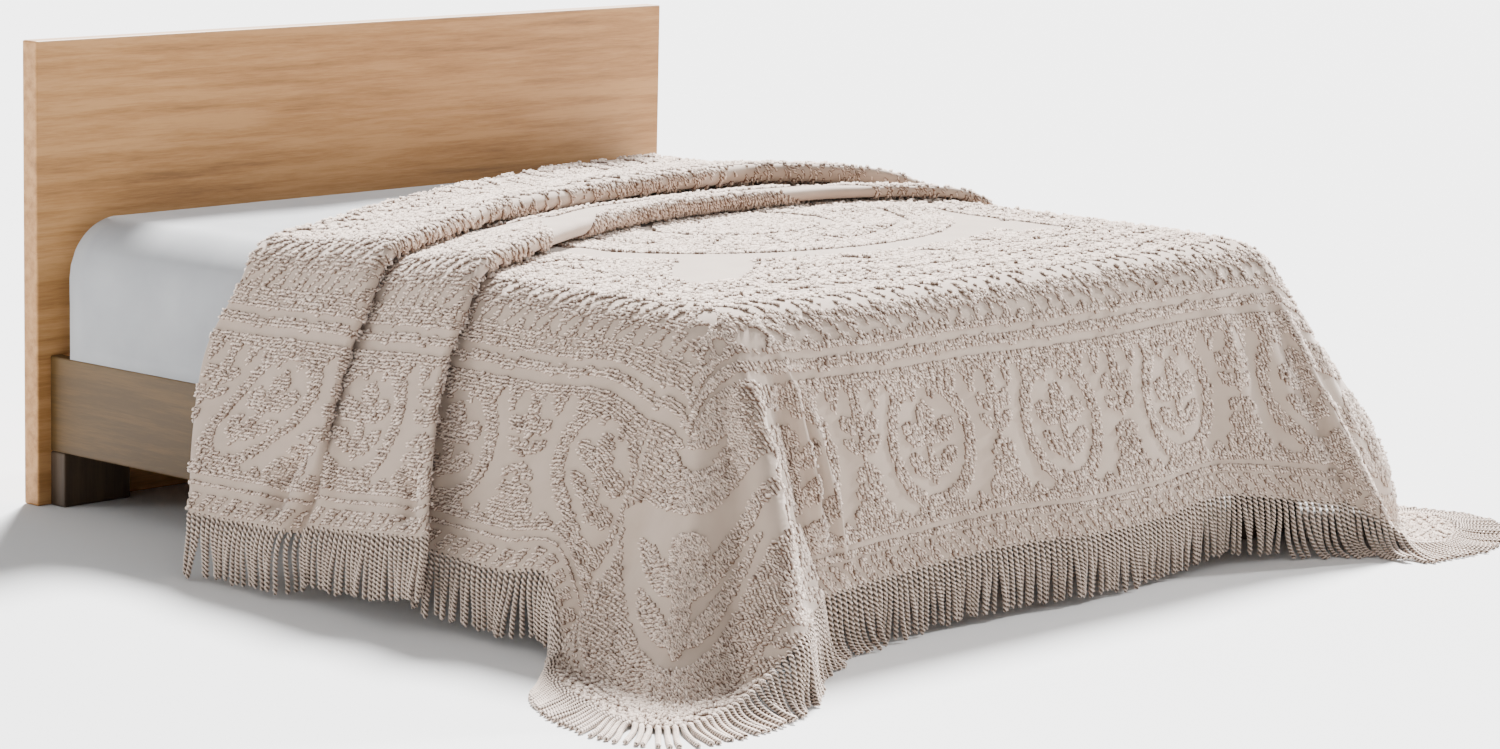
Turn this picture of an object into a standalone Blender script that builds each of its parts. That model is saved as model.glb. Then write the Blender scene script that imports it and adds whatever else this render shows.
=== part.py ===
"""A chenille bedspread drawn up in two folds over a made bed with a plain wooden frame.

Frame: metres, +Z up, origin on the floor under the middle of the whole object.
+X runs across the bed, +Y towards the headboard. The near side is -X, the foot is -Y.
"""

from math import radians

import bmesh
import bpy
import numpy as np
from mathutils import Vector

# ---- Driving dimensions -----------------------------------------------------

OBJECT_NAME = "chenille_bedspread_on_bed"

MATTRESS_WIDTH = 1.93
MATTRESS_LENGTH = 2.03
MATTRESS_TOP = 0.655
MATTRESS_SOFTER = 0.016
MATTRESS_HEAD_CORNER = 0.045

RAIL_TOP = 0.3415
RAIL_BOTTOM = 0.124
RAIL_THICKNESS = 0.032
DECK_THICKNESS = 0.018

HEADBOARD_WIDTH = 2.00
HEADBOARD_HEIGHT = 1.050
HEADBOARD_THICKNESS = 0.050
HEADBOARD_GAP = 0.030

LEG_WIDTH = 0.190
LEG_THICKNESS = 0.050

WOOD_EDGE = 0.004
JOINT_GAP = 0.0003

CLOTH_THICKNESS = 0.005
CLOTH_LIFT = CLOTH_THICKNESS / 2 + 0.0005
CLOTH_CLEARANCE = 0.007
CLOTH_EDGE = 0.115
CORNER_EDGE = 0.150
CORNER_SHOULDER = 0.34
SIDE_LENGTH = 0.668
FLOOR_BEND = 0.060

FRINGE_LENGTH = 0.127
FRINGE_THICKNESS = 0.005
FRINGE_HEADING = 0.018
FRINGE_FLOOR = 0.0010
FRINGE_GAP = 0.0008
FRINGE_EASE = 5.0
TOOTH_EDGES = (0.12, 0.88)

# The whole object moves by this much, so that its box is centred on the origin.
CENTRE_X = 0.1045
CENTRE_Y = 0.2040

# ---- How the cloth lies -----------------------------------------------------
# Each table is read smoothly between its rows, by its first column.

# Across the bed: where the bedspread's head edge lies, how thick the roll of cloth turned
# under it is, and how far the turned-under cloth runs back.
HEAD_COLUMNS = ("across", "edge", "roll", "tuck")
HEAD_EDGE = (
    (-1.53, 0.245, 0.012, 0.012),
    (-1.35, 0.335, 0.012, 0.012),
    (-1.16, 0.398, 0.012, 0.012),
    (-0.98, 0.376, 0.014, 0.030),
    (-0.82, 0.415, 0.018, 0.080),
    (-0.36, 0.610, 0.026, 0.120),
    (0.14, 0.790, 0.028, 0.120),
    (0.61, 0.910, 0.026, 0.100),
    (0.95, 0.960, 0.020, 0.040),
    (1.15, 0.970, 0.012, 0.012),
    (1.53, 0.970, 0.012, 0.012),
)

# Each fold across the bed: where its lip lies, how high it stands, how far the cloth runs
# back under it, and how far it has opened into a plain valley (0 folded, 1 open).
FOLD_COLUMNS = ("across", "lip", "height", "overlap", "open")
FIRST_FOLD = (
    (-1.53, -0.060, 0.034, 0.030, 0.90),
    (-1.40, -0.095, 0.034, 0.035, 0.45),
    (-1.28, -0.075, 0.036, 0.050, 0.05),
    (-1.10, -0.050, 0.040, 0.070, 0.00),
    (-0.98, -0.048, 0.046, 0.090, 0.00),
    (-0.70, 0.069, 0.054, 0.110, 0.00),
    (-0.40, 0.218, 0.058, 0.120, 0.00),
    (0.00, 0.325, 0.060, 0.120, 0.00),
    (0.45, 0.385, 0.062, 0.110, 0.00),
    (0.68, 0.380, 0.062, 0.090, 0.00),
    (0.84, 0.240, 0.060, 0.070, 0.00),
    (0.96, 0.060, 0.052, 0.050, 0.00),
    (1.15, -0.050, 0.036, 0.040, 0.00),
    (1.53, -0.100, 0.034, 0.030, 0.60),
)
SECOND_FOLD = (
    (-1.53, -0.490, 0.036, 0.060, 0.00),
    (-1.36, -0.415, 0.036, 0.060, 0.00),
    (-1.15, -0.340, 0.038, 0.070, 0.00),
    (-0.98, -0.325, 0.042, 0.080, 0.00),
    (-0.74, -0.223, 0.048, 0.090, 0.00),
    (-0.40, -0.059, 0.050, 0.090, 0.00),
    (-0.07, 0.066, 0.048, 0.090, 0.00),
    (0.36, 0.104, 0.044, 0.080, 0.00),
    (0.63, 0.085, 0.040, 0.070, 0.00),
    (0.78, 0.030, 0.036, 0.055, 0.00),
    (0.96, -0.120, 0.034, 0.045, 0.00),
    (1.15, -0.240, 0.032, 0.040, 0.10),
    (1.53, -0.300, 0.032, 0.030, 0.60),
)

# The drops: how far the hem stands out from where the cloth leaves the top, how high it
# hangs, how the cloth bows on the way, and how much of it lies out on the floor. The sides
# read by the stations that run from the head (0) to the foot line, the foot across the bed.
SIDE_COLUMNS = ("station", "reach", "hem", "bow", "toe")
NEAR_SIDE = (
    (0.00, 0.365, 0.126, 0.000, 0.000),
    (2.00, 0.365, 0.126, 0.000, 0.000),
    (3.00, 0.370, 0.132, 0.000, 0.000),
    (5.00, 0.355, 0.142, 0.000, 0.000),
    (7.00, 0.360, 0.169, 0.000, 0.000),
    (8.00, 0.365, 0.194, 0.000, 0.000),
    (9.00, 0.335, 0.169, 0.000, 0.000),
    (10.00, 0.325, 0.150, 0.000, 0.000),
    (10.50, 0.335, 0.142, 0.000, 0.000),
    (10.84, 0.340, 0.136, 0.000, 0.000),
    (11.00, 0.385, 0.044, 0.020, 0.000),
)
FAR_SIDE = (
    (0.00, 0.335, 0.125, 0.000, 0.000),
    (3.00, 0.335, 0.128, 0.000, 0.000),
    (5.00, 0.320, 0.140, 0.000, 0.000),
    (8.00, 0.325, 0.150, 0.000, 0.000),
    (10.00, 0.315, 0.135, 0.000, 0.000),
    (10.70, 0.315, 0.120, 0.000, 0.000),
    (11.00, 0.355, 0.060, -0.010, 0.000),
)
FOOT_COLUMNS = ("across", "reach", "hem", "bow", "toe")
FOOT = (
    (-0.822, 0.250, 0.118, 0.000, 0.000),
    (-0.600, 0.240, 0.130, 0.000, 0.000),
    (-0.200, 0.251, 0.143, 0.000, 0.000),
    (0.000, 0.265, 0.136, 0.000, 0.000),
    (0.250, 0.251, 0.134, 0.000, 0.000),
    (0.570, 0.237, 0.148, 0.000, 0.000),
    (0.700, 0.275, 0.130, 0.000, 0.000),
    (0.822, 0.335, 0.110, 0.000, 0.000),
)

# The foot corners, from the side (turn 0) to the foot (turn 1): where each strip of cloth
# heads in plan, and which way its fringe lies, in degrees from straight out sideways.
CORNER_COLUMNS = ("turn", "heading", "reach", "hem", "bow", "toe", "lay")
NEAR_CORNER = (
    (0.00, 0.0, 0.420, 0.040, 0.020, 0.00, 40.0),
    (0.12, 8.0, 0.520, 0.016, 0.030, 0.03, 28.0),
    (0.28, 22.0, 0.670, 0.010, 0.030, 0.10, 14.0),
    (0.43, 30.0, 0.770, 0.009, 0.030, 0.13, 22.0),
    (0.58, 36.0, 0.825, 0.009, 0.030, 0.14, 45.0),
    (0.70, 41.0, 0.790, 0.012, 0.030, 0.12, 66.0),
    (0.80, 48.0, 0.680, 0.034, 0.030, 0.05, 78.0),
    (0.87, 54.0, 0.630, 0.080, 0.020, 0.00, 74.0),
    (0.92, 60.0, 0.585, 0.120, 0.010, 0.00, 66.0),
    (0.96, 70.0, 0.420, 0.122, 0.005, 0.00, 70.0),
    (1.00, 90.0, 0.285, 0.118, 0.000, 0.00, 90.0),
)
FAR_CORNER = (
    (0.00, 0.0, 0.390, 0.060, -0.010, 0.00, 0.0),
    (0.15, 20.0, 0.450, 0.012, -0.030, 0.03, 10.0),
    (0.30, 32.0, 0.550, 0.009, -0.040, 0.08, 30.0),
    (0.50, 50.0, 0.560, 0.009, -0.040, 0.09, 50.0),
    (0.66, 66.0, 0.520, 0.010, -0.030, 0.07, 70.0),
    (0.80, 79.0, 0.470, 0.030, -0.010, 0.02, 88.0),
    (0.90, 85.0, 0.460, 0.070, 0.000, 0.00, 100.0),
    (1.00, 90.0, 0.370, 0.110, 0.000, 0.00, 90.0),
)

# ---- The grid of the CAD sheet ----------------------------------------------

DROP_RINGS = (0.055, 0.11, 0.17, 0.28, 0.39, 0.51, 0.63, 0.76, 0.88, 1.0)
TOP_COLUMNS = 12
MATTRESS_RINGS = (0.07, 0.14, 0.21, 0.29, 0.38, 1.0)
MATTRESS_COLUMNS = 8
SPAN_ROWS = (1, 3, 5, 4, 2, 3, 4, 4, 2, 3, 7)
FOOT_LINE = len(SPAN_ROWS)

INNER_X = MATTRESS_WIDTH / 2 + CLOTH_CLEARANCE - CLOTH_EDGE
INNER_Y = MATTRESS_LENGTH / 2 + CLOTH_CLEARANCE - CLOTH_EDGE
CLOTH_TOP = MATTRESS_TOP + CLOTH_LIFT


# ---- The drape --------------------------------------------------------------

def ease(t):
    """A smooth step from 0 to 1."""
    t = np.clip(t, 0.0, 1.0)
    return t * t * (3.0 - 2.0 * t)


def mix(a, b, share):
    return a + (b - a) * share


def read(table, columns, name, at):
    """One named column of a table, read smoothly between its rows."""
    rows = np.array(table)
    keys, values = rows[:, 0], rows[:, columns.index(name)]
    slopes = np.gradient(values, keys)
    at = np.clip(at, keys[0], keys[-1])
    i = np.clip(np.searchsorted(keys, at) - 1, 0, len(keys) - 2)
    step = keys[i + 1] - keys[i]
    t = (at - keys[i]) / step
    curved = t * (1.0 - t) * step * ((1.0 - t) * slopes[i] - t * slopes[i + 1])
    return mix(values[i], values[i + 1], ease(t)) + curved


def read_by_side(near, far, columns, at, side):
    """Every later column of the near or the far table."""
    return [np.where(side < 0, read(near, columns, name, at), read(far, columns, name, at))
            for name in columns[1:]]


def shoulder(at, inner):
    """How round the cloth lies over the mattress edge: rounder towards the foot corners."""
    return mix(CLOTH_EDGE, CORNER_EDGE, ease(1.0 - (inner - at) / CORNER_SHOULDER))


def fall(share, edge, reach, drop, bow, toe):
    """Cloth that turns over a round edge, falls to the floor or a hem, and lies out on its toe.

    The result is how far out and how far down each share of it lies, and how much it tilts.
    """
    bend = np.minimum(toe, FLOOR_BEND)
    turns = edge + bend
    span = np.hypot(reach - toe, drop - turns)
    slope = np.arctan2(drop - turns, reach - toe) + np.arcsin(turns / span)
    straight = np.sqrt(span ** 2 - turns ** 2)
    along = share * (turns * slope + straight + toe)
    tilt = np.clip(along / edge, 0.0, slope)
    run = np.clip(along - edge * slope, 0.0, straight)
    part = run / straight
    lean = 6.75 * part ** 2 * (1.0 - part) * bow
    out = edge * np.sin(tilt) + run * np.cos(slope) - lean * np.sin(slope)
    down = edge * (1.0 - np.cos(tilt)) + run * np.sin(slope) + lean * np.cos(slope)
    past = np.clip(along - edge * slope - straight, 0.0, None)
    level = np.clip(past / np.maximum(bend, 1e-6), 0.0, slope)
    out += bend * (np.sin(slope) - np.sin(slope - level)) + np.clip(past - bend * slope, 0.0, None)
    down += bend * (np.cos(slope - level) - np.cos(slope))
    return out, down, tilt


def fold_at(table, across):
    """A fold's lip line, height, overlap and openness at a place across the bed."""
    return [read(table, FOLD_COLUMNS, name, across) for name in FOLD_COLUMNS[1:]]


def folded(part, lip, height, overlap, opened):
    """A fold's cross-section: over the lip (part 0 to 1), back under it (to 2), forward (to 3).

    The result is the place along the bed and the lift above it.
    """
    radius = height * 0.32
    under = height / 2 - radius
    over = np.clip(part, 0.0, 1.0) * np.pi
    back = np.clip(part - 1.0, 0.0, 1.0)
    turn = np.clip(part - 2.0, 0.0, 1.0) * np.pi
    y = lip + radius - radius * np.sin(over) + overlap * back + under * np.sin(turn)
    lift = height - radius * (1.0 - np.cos(over)) - under * (1.0 - np.cos(turn))
    share = part / 3.0
    open_y = mix(lip + radius, lip - 0.06, share)
    open_lift = height * 0.5 * (1.0 - ease(share)) - 0.012 * np.sin(np.pi * share)
    return mix(y, open_y, opened), mix(lift, open_lift, opened)


def run_to_fold(share, y, lift, fold_values):
    """Cloth that leaves a place on the bed and climbs to the next fold's lip."""
    lip_y, lip_lift = folded(0.0, *fold_values)
    sag = 0.2 * np.minimum(lift, lip_lift) * np.sin(np.pi * share)
    return mix(y, lip_y, share), mix(lift, lip_lift, ease((share - 0.1) / 0.9)) - sag


def along_bed(station, across):
    """Where the cloth lies along the bed, and its lift, from the head edge to the foot line."""
    edge, roll, tuck = (read(HEAD_EDGE, HEAD_COLUMNS, name, across) for name in HEAD_COLUMNS[1:])
    first, second = fold_at(FIRST_FOLD, across), fold_at(SECOND_FOLD, across)
    first_end, second_end = folded(3.0, *first), folded(3.0, *second)
    foot = -(INNER_Y + CLOTH_EDGE - shoulder(np.abs(across), INNER_X))
    turn = np.clip(station - 1.0, 0.0, 1.0) * np.pi
    to_foot = np.clip(station - 10.0, 0.0, 1.0)
    spans = (
        (0, (edge - roll / 2 - tuck * np.clip(1.0 - station, 0.0, 1.0), 0.0 * edge)),
        (1, (edge - roll / 2 * (1.0 - np.sin(turn)), roll / 2 * (1.0 - np.cos(turn)))),
        (2, run_to_fold(np.clip(station - 2.0, 0.0, 1.0), edge - roll / 2, roll, first)),
        (3, folded(np.clip(station - 3.0, 0.0, 3.0), *first)),
        (6, run_to_fold(np.clip(station - 6.0, 0.0, 1.0), *first_end, second)),
        (7, folded(np.clip(station - 7.0, 0.0, 3.0), *second)),
        (10, (mix(second_end[0], foot, to_foot), second_end[1] * (1.0 - ease(to_foot * 4)))),
    )
    y, lift = spans[0][1]
    for start, (span_y, span_lift) in spans[1:]:
        y = np.where(station > start, span_y, y)
        lift = np.where(station > start, span_lift, lift)
    return y, lift


def drape(across, station):
    """A point of the sheet's middle surface.

    across runs -2 (near hem), -1 (near mattress edge), 1 (far edge), 2 (far hem);
    station runs 0 (head) to FOOT_LINE (foot edge of the mattress) and one more to the hem.
    """
    across, station = np.broadcast_arrays(across * 1.0, station * 1.0)
    side = np.where(across < 0, -1.0, 1.0)
    beside = np.clip(np.abs(across) - 1.0, 0.0, 1.0)
    beyond = np.clip(station - FOOT_LINE, 0.0, 1.0)
    over_top = np.clip(np.abs(across), 0.0, 1.0)
    spread = side * (INNER_X * over_top + SIDE_LENGTH * beside)
    outer_x, outer_y = INNER_X + CLOTH_EDGE, INNER_Y + CLOTH_EDGE

    # The top and the two sides.
    y, lift = along_bed(np.clip(station, 0.0, FOOT_LINE), spread)
    edge = shoulder(-y, INNER_Y)
    reach, hem, bow, toe = read_by_side(NEAR_SIDE, FAR_SIDE, SIDE_COLUMNS, station, side)
    reach = reach + edge - CLOTH_EDGE
    out, down, tilt = fall(beside, edge, reach, CLOTH_TOP - hem, bow, toe)
    x = side * ((outer_x - edge) * over_top + out + lift * np.sin(tilt))
    z = CLOTH_TOP - down + lift * np.cos(tilt)

    # The foot.
    edge = shoulder(np.abs(spread), INNER_X)
    reach, hem, bow, toe = (read(FOOT, FOOT_COLUMNS, name, spread) for name in FOOT_COLUMNS[1:])
    reach = reach + edge - CLOTH_EDGE
    out, down, tilt = fall(beyond, edge, reach, CLOTH_TOP - hem, bow, toe)
    on_foot = (beyond > 0) & (beside == 0)
    y = np.where(on_foot, -(outer_y - edge) - out, y)
    z = np.where(on_foot, CLOTH_TOP - down, z)

    # The foot corners, where strips of cloth fan out from the mattress corner.
    ring, turn = corner_turn(beside, beyond)
    heading, reach, hem, bow, toe, _ = read_by_side(NEAR_CORNER, FAR_CORNER, CORNER_COLUMNS,
                                                    turn, side)
    out, down, tilt = fall(ring, CORNER_EDGE, reach, CLOTH_TOP - hem, bow, toe)
    in_corner = (beside > 0) & (beyond > 0)
    corner_x = outer_x - CORNER_EDGE + out * np.cos(np.radians(heading))
    corner_y = outer_y - CORNER_EDGE + out * np.sin(np.radians(heading))
    x = np.where(in_corner, side * corner_x, x)
    y = np.where(in_corner, -corner_y, y)
    z = np.where(in_corner, CLOTH_TOP - down, z)
    return np.stack([x + CENTRE_X, y + CENTRE_Y, z], axis=-1)


def corner_turn(beside, beyond):
    """How far out in a foot corner a point lies, and how far round from side to foot."""
    ring = np.maximum(beside, beyond)
    shorter = np.minimum(beside, beyond) / np.maximum(ring, 1e-9)
    return ring, np.where(beside > beyond, shorter / 2, 1.0 - shorter / 2)


def fringe_lay(across, station):
    """The level direction in which the fringe lies or leans at a place on the hem."""
    side = np.where(across < 0, -1.0, 1.0)
    beside = np.clip(np.abs(across) - 1.0, 0.0, 1.0)
    beyond = np.clip(station - FOOT_LINE, 0.0, 1.0)
    _, turn = corner_turn(beside, beyond)
    corner = read_by_side(NEAR_CORNER, FAR_CORNER, CORNER_COLUMNS, turn, side)[-1]
    start = np.where(side < 0, NEAR_CORNER[0][-1], FAR_CORNER[0][-1])
    beside_corner = start * ease((station - (FOOT_LINE - 0.3)) / 0.3)
    lay = np.where(beyond > 0, np.where(beside > 0, corner, 90.0), beside_corner)
    angle = np.radians(lay)
    return np.stack([side * np.cos(angle), -np.sin(angle), np.zeros_like(angle)], axis=-1)


# ---- Blender helpers --------------------------------------------------------

def clear_scene():
    for obj in list(bpy.data.objects):
        bpy.data.objects.remove(obj, do_unlink=True)


def make_material(name, colour, roughness):
    material = bpy.data.materials.new(name)
    material.use_nodes = True
    shader = material.node_tree.nodes["Principled BSDF"]
    shader.inputs["Base Color"].default_value = (*colour, 1.0)
    shader.inputs["Roughness"].default_value = roughness
    shader.inputs["Metallic"].default_value = 0.0
    return material


def grid_faces(rows, columns):
    """The quads between the points of a grid."""
    faces = []
    for row in range(rows - 1):
        for column in range(columns - 1):
            first = row * columns + column
            faces.append((first, first + columns, first + columns + 1, first + 1))
    return faces


def add_part(name, mesh, material):
    mesh.materials.append(material)
    part = bpy.data.objects.new(name, mesh)
    parts.objects.link(part)
    return part


def block(name, low, high, edge, material):
    """A board or block between two corners, with its edges eased."""
    low, high = Vector(low), Vector(high)
    shape = bmesh.new()
    bmesh.ops.create_cube(shape, size=1.0)
    bmesh.ops.scale(shape, vec=high - low, verts=shape.verts)
    mesh = bpy.data.meshes.new(name)
    shape.to_mesh(mesh)
    shape.free()
    part = add_part(name, mesh, material)
    part.location = (low + high) / 2 + Vector((CENTRE_X, CENTRE_Y, 0.0))
    bevel = part.modifiers.new("eased edges", "BEVEL")
    bevel.width = edge
    bevel.segments = 2
    return part


# ---- Sub-parts --------------------------------------------------------------

def mattress_point(across, along):
    """A point of the mattress's top and sides, which the cloth follows a little way off.

    across and along run -2 (foot of the near or foot side), -1 and 1 (top edges), and 2.
    """
    across, along = np.broadcast_arrays(across * 1.0, along * 1.0)
    side, end = np.where(across < 0, -1.0, 1.0), np.where(along < 0, -1.0, 1.0)
    beside, beyond = np.clip(np.abs(across) - 1, 0, 1), np.clip(np.abs(along) - 1, 0, 1)
    level_x, level_y = np.clip(across, -1, 1), np.clip(along, -1, 1)
    height = MATTRESS_TOP - RAIL_TOP - JOINT_GAP
    half_x, half_y = MATTRESS_WIDTH / 2, MATTRESS_LENGTH / 2

    foot_edge = shoulder(np.abs(level_x) * INNER_X, INNER_X) + MATTRESS_SOFTER
    end_edge = np.where(end < 0, foot_edge, MATTRESS_HEAD_CORNER)
    y = level_y * (half_y - end_edge)
    side_edge = shoulder(-y, INNER_Y) + MATTRESS_SOFTER
    x = level_x * (half_x - side_edge)
    corner_edge = np.where(end < 0, CORNER_EDGE + MATTRESS_SOFTER, MATTRESS_HEAD_CORNER)

    ring, turn = corner_turn(beside, beyond)
    in_corner = (beside > 0) & (beyond > 0)
    edge = np.where(in_corner, corner_edge, np.where(beside > 0, side_edge, end_edge))
    out, down, _ = fall(ring, edge, edge, height, 0.0, 0.0)
    angle = np.radians(90.0) * np.where(in_corner, turn, np.where(beside > 0, 0.0, 1.0))
    x = x + side * out * np.cos(angle)
    y = y + end * out * np.sin(angle)
    return np.stack([x + CENTRE_X, y + CENTRE_Y, MATTRESS_TOP - down], axis=-1)


def build_mattress(material):
    """The mattress in its fitted sheet: soft edges, softest at the foot corners."""
    rings = np.array(MATTRESS_RINGS)
    level = np.linspace(-1.0, 1.0, MATTRESS_COLUMNS + 1)
    lines = np.concatenate([-1.0 - rings[::-1], level, 1.0 + rings])
    points = mattress_point(lines[None, :], -lines[:, None])
    faces = grid_faces(*points.shape[:2])
    count = len(lines)
    index = np.arange(count * count).reshape(count, count)
    rim = np.concatenate([index[:-1, 0], index[-1, :-1], index[:0:-1, -1], index[0, :0:-1]])
    middle = points[[0, -1], [0, -1]].mean(axis=0)
    faces += [(int(a), int(b), count * count) for a, b in zip(rim, np.roll(rim, 1))]
    corners = [*map(tuple, points.reshape(-1, 3)), tuple(middle)]
    mesh = bpy.data.meshes.new("mattress")
    mesh.from_pydata(corners, [], faces)
    mesh.shade_smooth()
    mesh.set_sharp_from_angle(angle=radians(50))
    add_part("mattress", mesh, material)


def build_frame(wood, dark):
    """The headboard, rails, deck and legs that hold the mattress up."""
    half_x, half_y = MATTRESS_WIDTH / 2, MATTRESS_LENGTH / 2
    board_y = half_y + HEADBOARD_GAP
    rail_x = half_x - RAIL_THICKNESS
    rail_end = -half_y
    block("headboard", (-HEADBOARD_WIDTH / 2, board_y, 0.0),
          (HEADBOARD_WIDTH / 2, board_y + HEADBOARD_THICKNESS, HEADBOARD_HEIGHT), WOOD_EDGE, wood)
    for name, side in (("rail_near", -1), ("rail_far", 1)):
        xs = sorted((side * rail_x, side * half_x))
        block(name, (xs[0], rail_end, RAIL_BOTTOM),
              (xs[1], board_y - JOINT_GAP, RAIL_TOP), WOOD_EDGE, wood)
    inner = rail_x - JOINT_GAP
    block("rail_foot", (-inner, rail_end, RAIL_BOTTOM),
          (inner, rail_end + RAIL_THICKNESS, RAIL_TOP), WOOD_EDGE, wood)
    block("deck", (-inner, rail_end + RAIL_THICKNESS + JOINT_GAP, RAIL_TOP - DECK_THICKNESS),
          (inner, board_y - JOINT_GAP, RAIL_TOP), 0.001, wood)
    leg_top = RAIL_BOTTOM - JOINT_GAP
    for name, side, y in (("leg_head_near", -1, board_y - JOINT_GAP - LEG_THICKNESS),
                          ("leg_head_far", 1, board_y - JOINT_GAP - LEG_THICKNESS),
                          ("leg_foot_near", -1, rail_end),
                          ("leg_foot_far", 1, rail_end)):
        xs = sorted((side * half_x, side * (half_x - LEG_WIDTH)))
        block(name, (xs[0], y, 0.0), (xs[1], y + LEG_THICKNESS, leg_top), WOOD_EDGE, dark)


def grid_lines():
    """The across and station values of the sheet's grid lines."""
    top = np.linspace(-1.0, 1.0, TOP_COLUMNS + 1)
    rings = np.array(DROP_RINGS)
    across = np.concatenate([-1.0 - rings[::-1], top, 1.0 + rings])
    stations = [np.array([0.0])]
    for start, rows in enumerate(SPAN_ROWS):
        stations.append(start + np.arange(1, rows + 1) / rows)
    stations.append(FOOT_LINE + rings)
    return across, np.concatenate(stations)


def build_bedspread(material):
    """The cloth; its grid of points and their normals, which the fringe is sewn to."""
    across, stations = grid_lines()
    points = drape(across[None, :], stations[:, None])
    mesh = bpy.data.meshes.new("bedspread")
    mesh.from_pydata([tuple(point) for point in points.reshape(-1, 3)], [],
                     grid_faces(*points.shape[:2]))
    mesh.shade_smooth()
    part = add_part("bedspread", mesh, material)
    solidify = part.modifiers.new("thickness", "SOLIDIFY")
    solidify.thickness = CLOTH_THICKNESS
    solidify.offset = 0.0
    normals = [vertex.normal[:] for vertex in mesh.vertices]
    return points, np.array(normals).reshape(points.shape)


def round_the_hem(grid):
    """The values of a grid along its near side, its foot and its far side."""
    return np.concatenate([grid[:-1, 0], grid[-1], grid[-2::-1, -1]])


def drawn_in(at, start):
    """A grid value on the hem, taken back to the last grid line before it."""
    last = DROP_RINGS[-2]
    on_hem = np.abs(at) > start + (1.0 + last) / 2
    return np.where(on_hem, np.sign(at) * (start + last), at)


def build_fringe(points, normals, material):
    """One comb that hangs from the side and foot hems and lies out where they reach the floor."""
    across, station = np.meshgrid(*grid_lines())
    hem, normal = round_the_hem(points), round_the_hem(normals)
    falling = hem - drape(drawn_in(round_the_hem(across), 1.0),
                          drawn_in(round_the_hem(station), FOOT_LINE))
    falling /= np.linalg.norm(falling, axis=1)[:, None]
    lay = fringe_lay(round_the_hem(across), round_the_hem(station))
    turning = np.linalg.norm(np.gradient(normal, axis=0), axis=1)[:, None]
    top = hem + falling * FRINGE_GAP * (1.0 + FRINGE_EASE * turning)
    heading = top + falling * FRINGE_HEADING
    lowest = FRINGE_FLOOR + FRINGE_THICKNESS / 2
    heading[:, 2] = np.maximum(heading[:, 2], lowest)
    length = FRINGE_LENGTH - FRINGE_HEADING
    room = np.clip(heading[:, 2] - lowest, 0.0, length * 0.995)
    tip = heading + lay * np.sqrt(length ** 2 - room ** 2)[:, None]
    tip[:, 2] = heading[:, 2] - room
    facing = np.cross(tip - heading, np.gradient(heading, axis=0))
    facing /= np.linalg.norm(facing, axis=1)[:, None]

    corners = [*np.stack([top, heading], axis=1).reshape(-1, 3)]
    facings = [*np.repeat(normal, 2, axis=0)]
    faces = []
    for here in range(len(top) - 1):
        ahead = here + 1
        first = len(corners)
        for line, line_facing in ((heading, normal), (tip, facing)):
            for share in TOOTH_EDGES:
                corners.append(mix(line[here], line[ahead], share))
                facings.append(mix(line_facing[here], line_facing[ahead], share))
        faces.append((2 * here, 2 * here + 1, first, first + 1, 2 * ahead + 1, 2 * ahead))
        faces.append((first, first + 2, first + 3, first + 1))

    half = np.array(facings) * FRINGE_THICKNESS / 2
    count = len(corners)
    edges = {(a, b) for face in faces for a, b in zip(face, face[1:] + face[:1])}
    solid = faces + [tuple(corner + count for corner in face[::-1]) for face in faces]
    solid += [(b, a, a + count, b + count) for a, b in sorted(edges) if (b, a) not in edges]
    mesh = bpy.data.meshes.new("fringe")
    mesh.from_pydata([*map(tuple, corners + half), *map(tuple, corners - half)], [], solid)
    mesh.shade_smooth()
    mesh.set_sharp_from_angle(angle=radians(50))
    add_part("fringe", mesh, material)


clear_scene()
parts = bpy.data.collections.new(OBJECT_NAME)
bpy.context.scene.collection.children.link(parts)
cotton = make_material("chenille_cotton", (0.60, 0.52, 0.47), 0.9)
linen = make_material("white_sheeting", (0.85, 0.85, 0.86), 0.8)
oak = make_material("pale_oak", (0.45, 0.31, 0.19), 0.55)
black = make_material("black_wood", (0.02, 0.02, 0.022), 0.6)

cloth_points, cloth_normals = build_bedspread(cotton)
build_fringe(cloth_points, cloth_normals, cotton)
build_mattress(linen)
build_frame(oak, black)
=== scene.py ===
"""A chenille bedspread with a corded fringe, lying over a made platform bed.

The file follows the bed as it is put together: the wooden frame, the mattress in its sheet,
the woven cloth over it, the tufted pile on the cloth, and the fringe sewn round its hem.
Metres, +Z up, -X the near side of the bed, -Y its foot.
"""

from math import cos, pi, radians, sin

import bmesh
import bpy
import numpy as np
from mathutils import Matrix, Vector


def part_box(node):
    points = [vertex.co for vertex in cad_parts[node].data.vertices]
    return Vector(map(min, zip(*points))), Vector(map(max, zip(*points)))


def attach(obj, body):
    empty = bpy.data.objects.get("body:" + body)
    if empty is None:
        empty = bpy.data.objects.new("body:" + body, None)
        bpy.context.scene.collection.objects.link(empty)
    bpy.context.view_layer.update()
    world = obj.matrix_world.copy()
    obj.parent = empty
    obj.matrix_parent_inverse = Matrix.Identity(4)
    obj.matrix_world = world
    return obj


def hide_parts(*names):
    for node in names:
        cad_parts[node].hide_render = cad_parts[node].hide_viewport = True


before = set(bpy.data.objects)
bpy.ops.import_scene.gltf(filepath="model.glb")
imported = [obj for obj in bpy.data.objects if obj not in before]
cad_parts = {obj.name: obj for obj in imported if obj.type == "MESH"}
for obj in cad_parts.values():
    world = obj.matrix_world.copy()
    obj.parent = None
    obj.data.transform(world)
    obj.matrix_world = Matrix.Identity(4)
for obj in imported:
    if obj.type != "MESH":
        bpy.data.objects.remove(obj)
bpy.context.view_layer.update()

# ---- The wooden frame --------------------------------------------------------
# A flat headboard, three rails, a deck and four broad legs, sawn from oak board. They are
# lacquered matt and the legs stained dark, and are screwed together from inside. The side
# rails are a darker, browner copy of the oak: painted shade for the shadow under the mattress.


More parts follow.
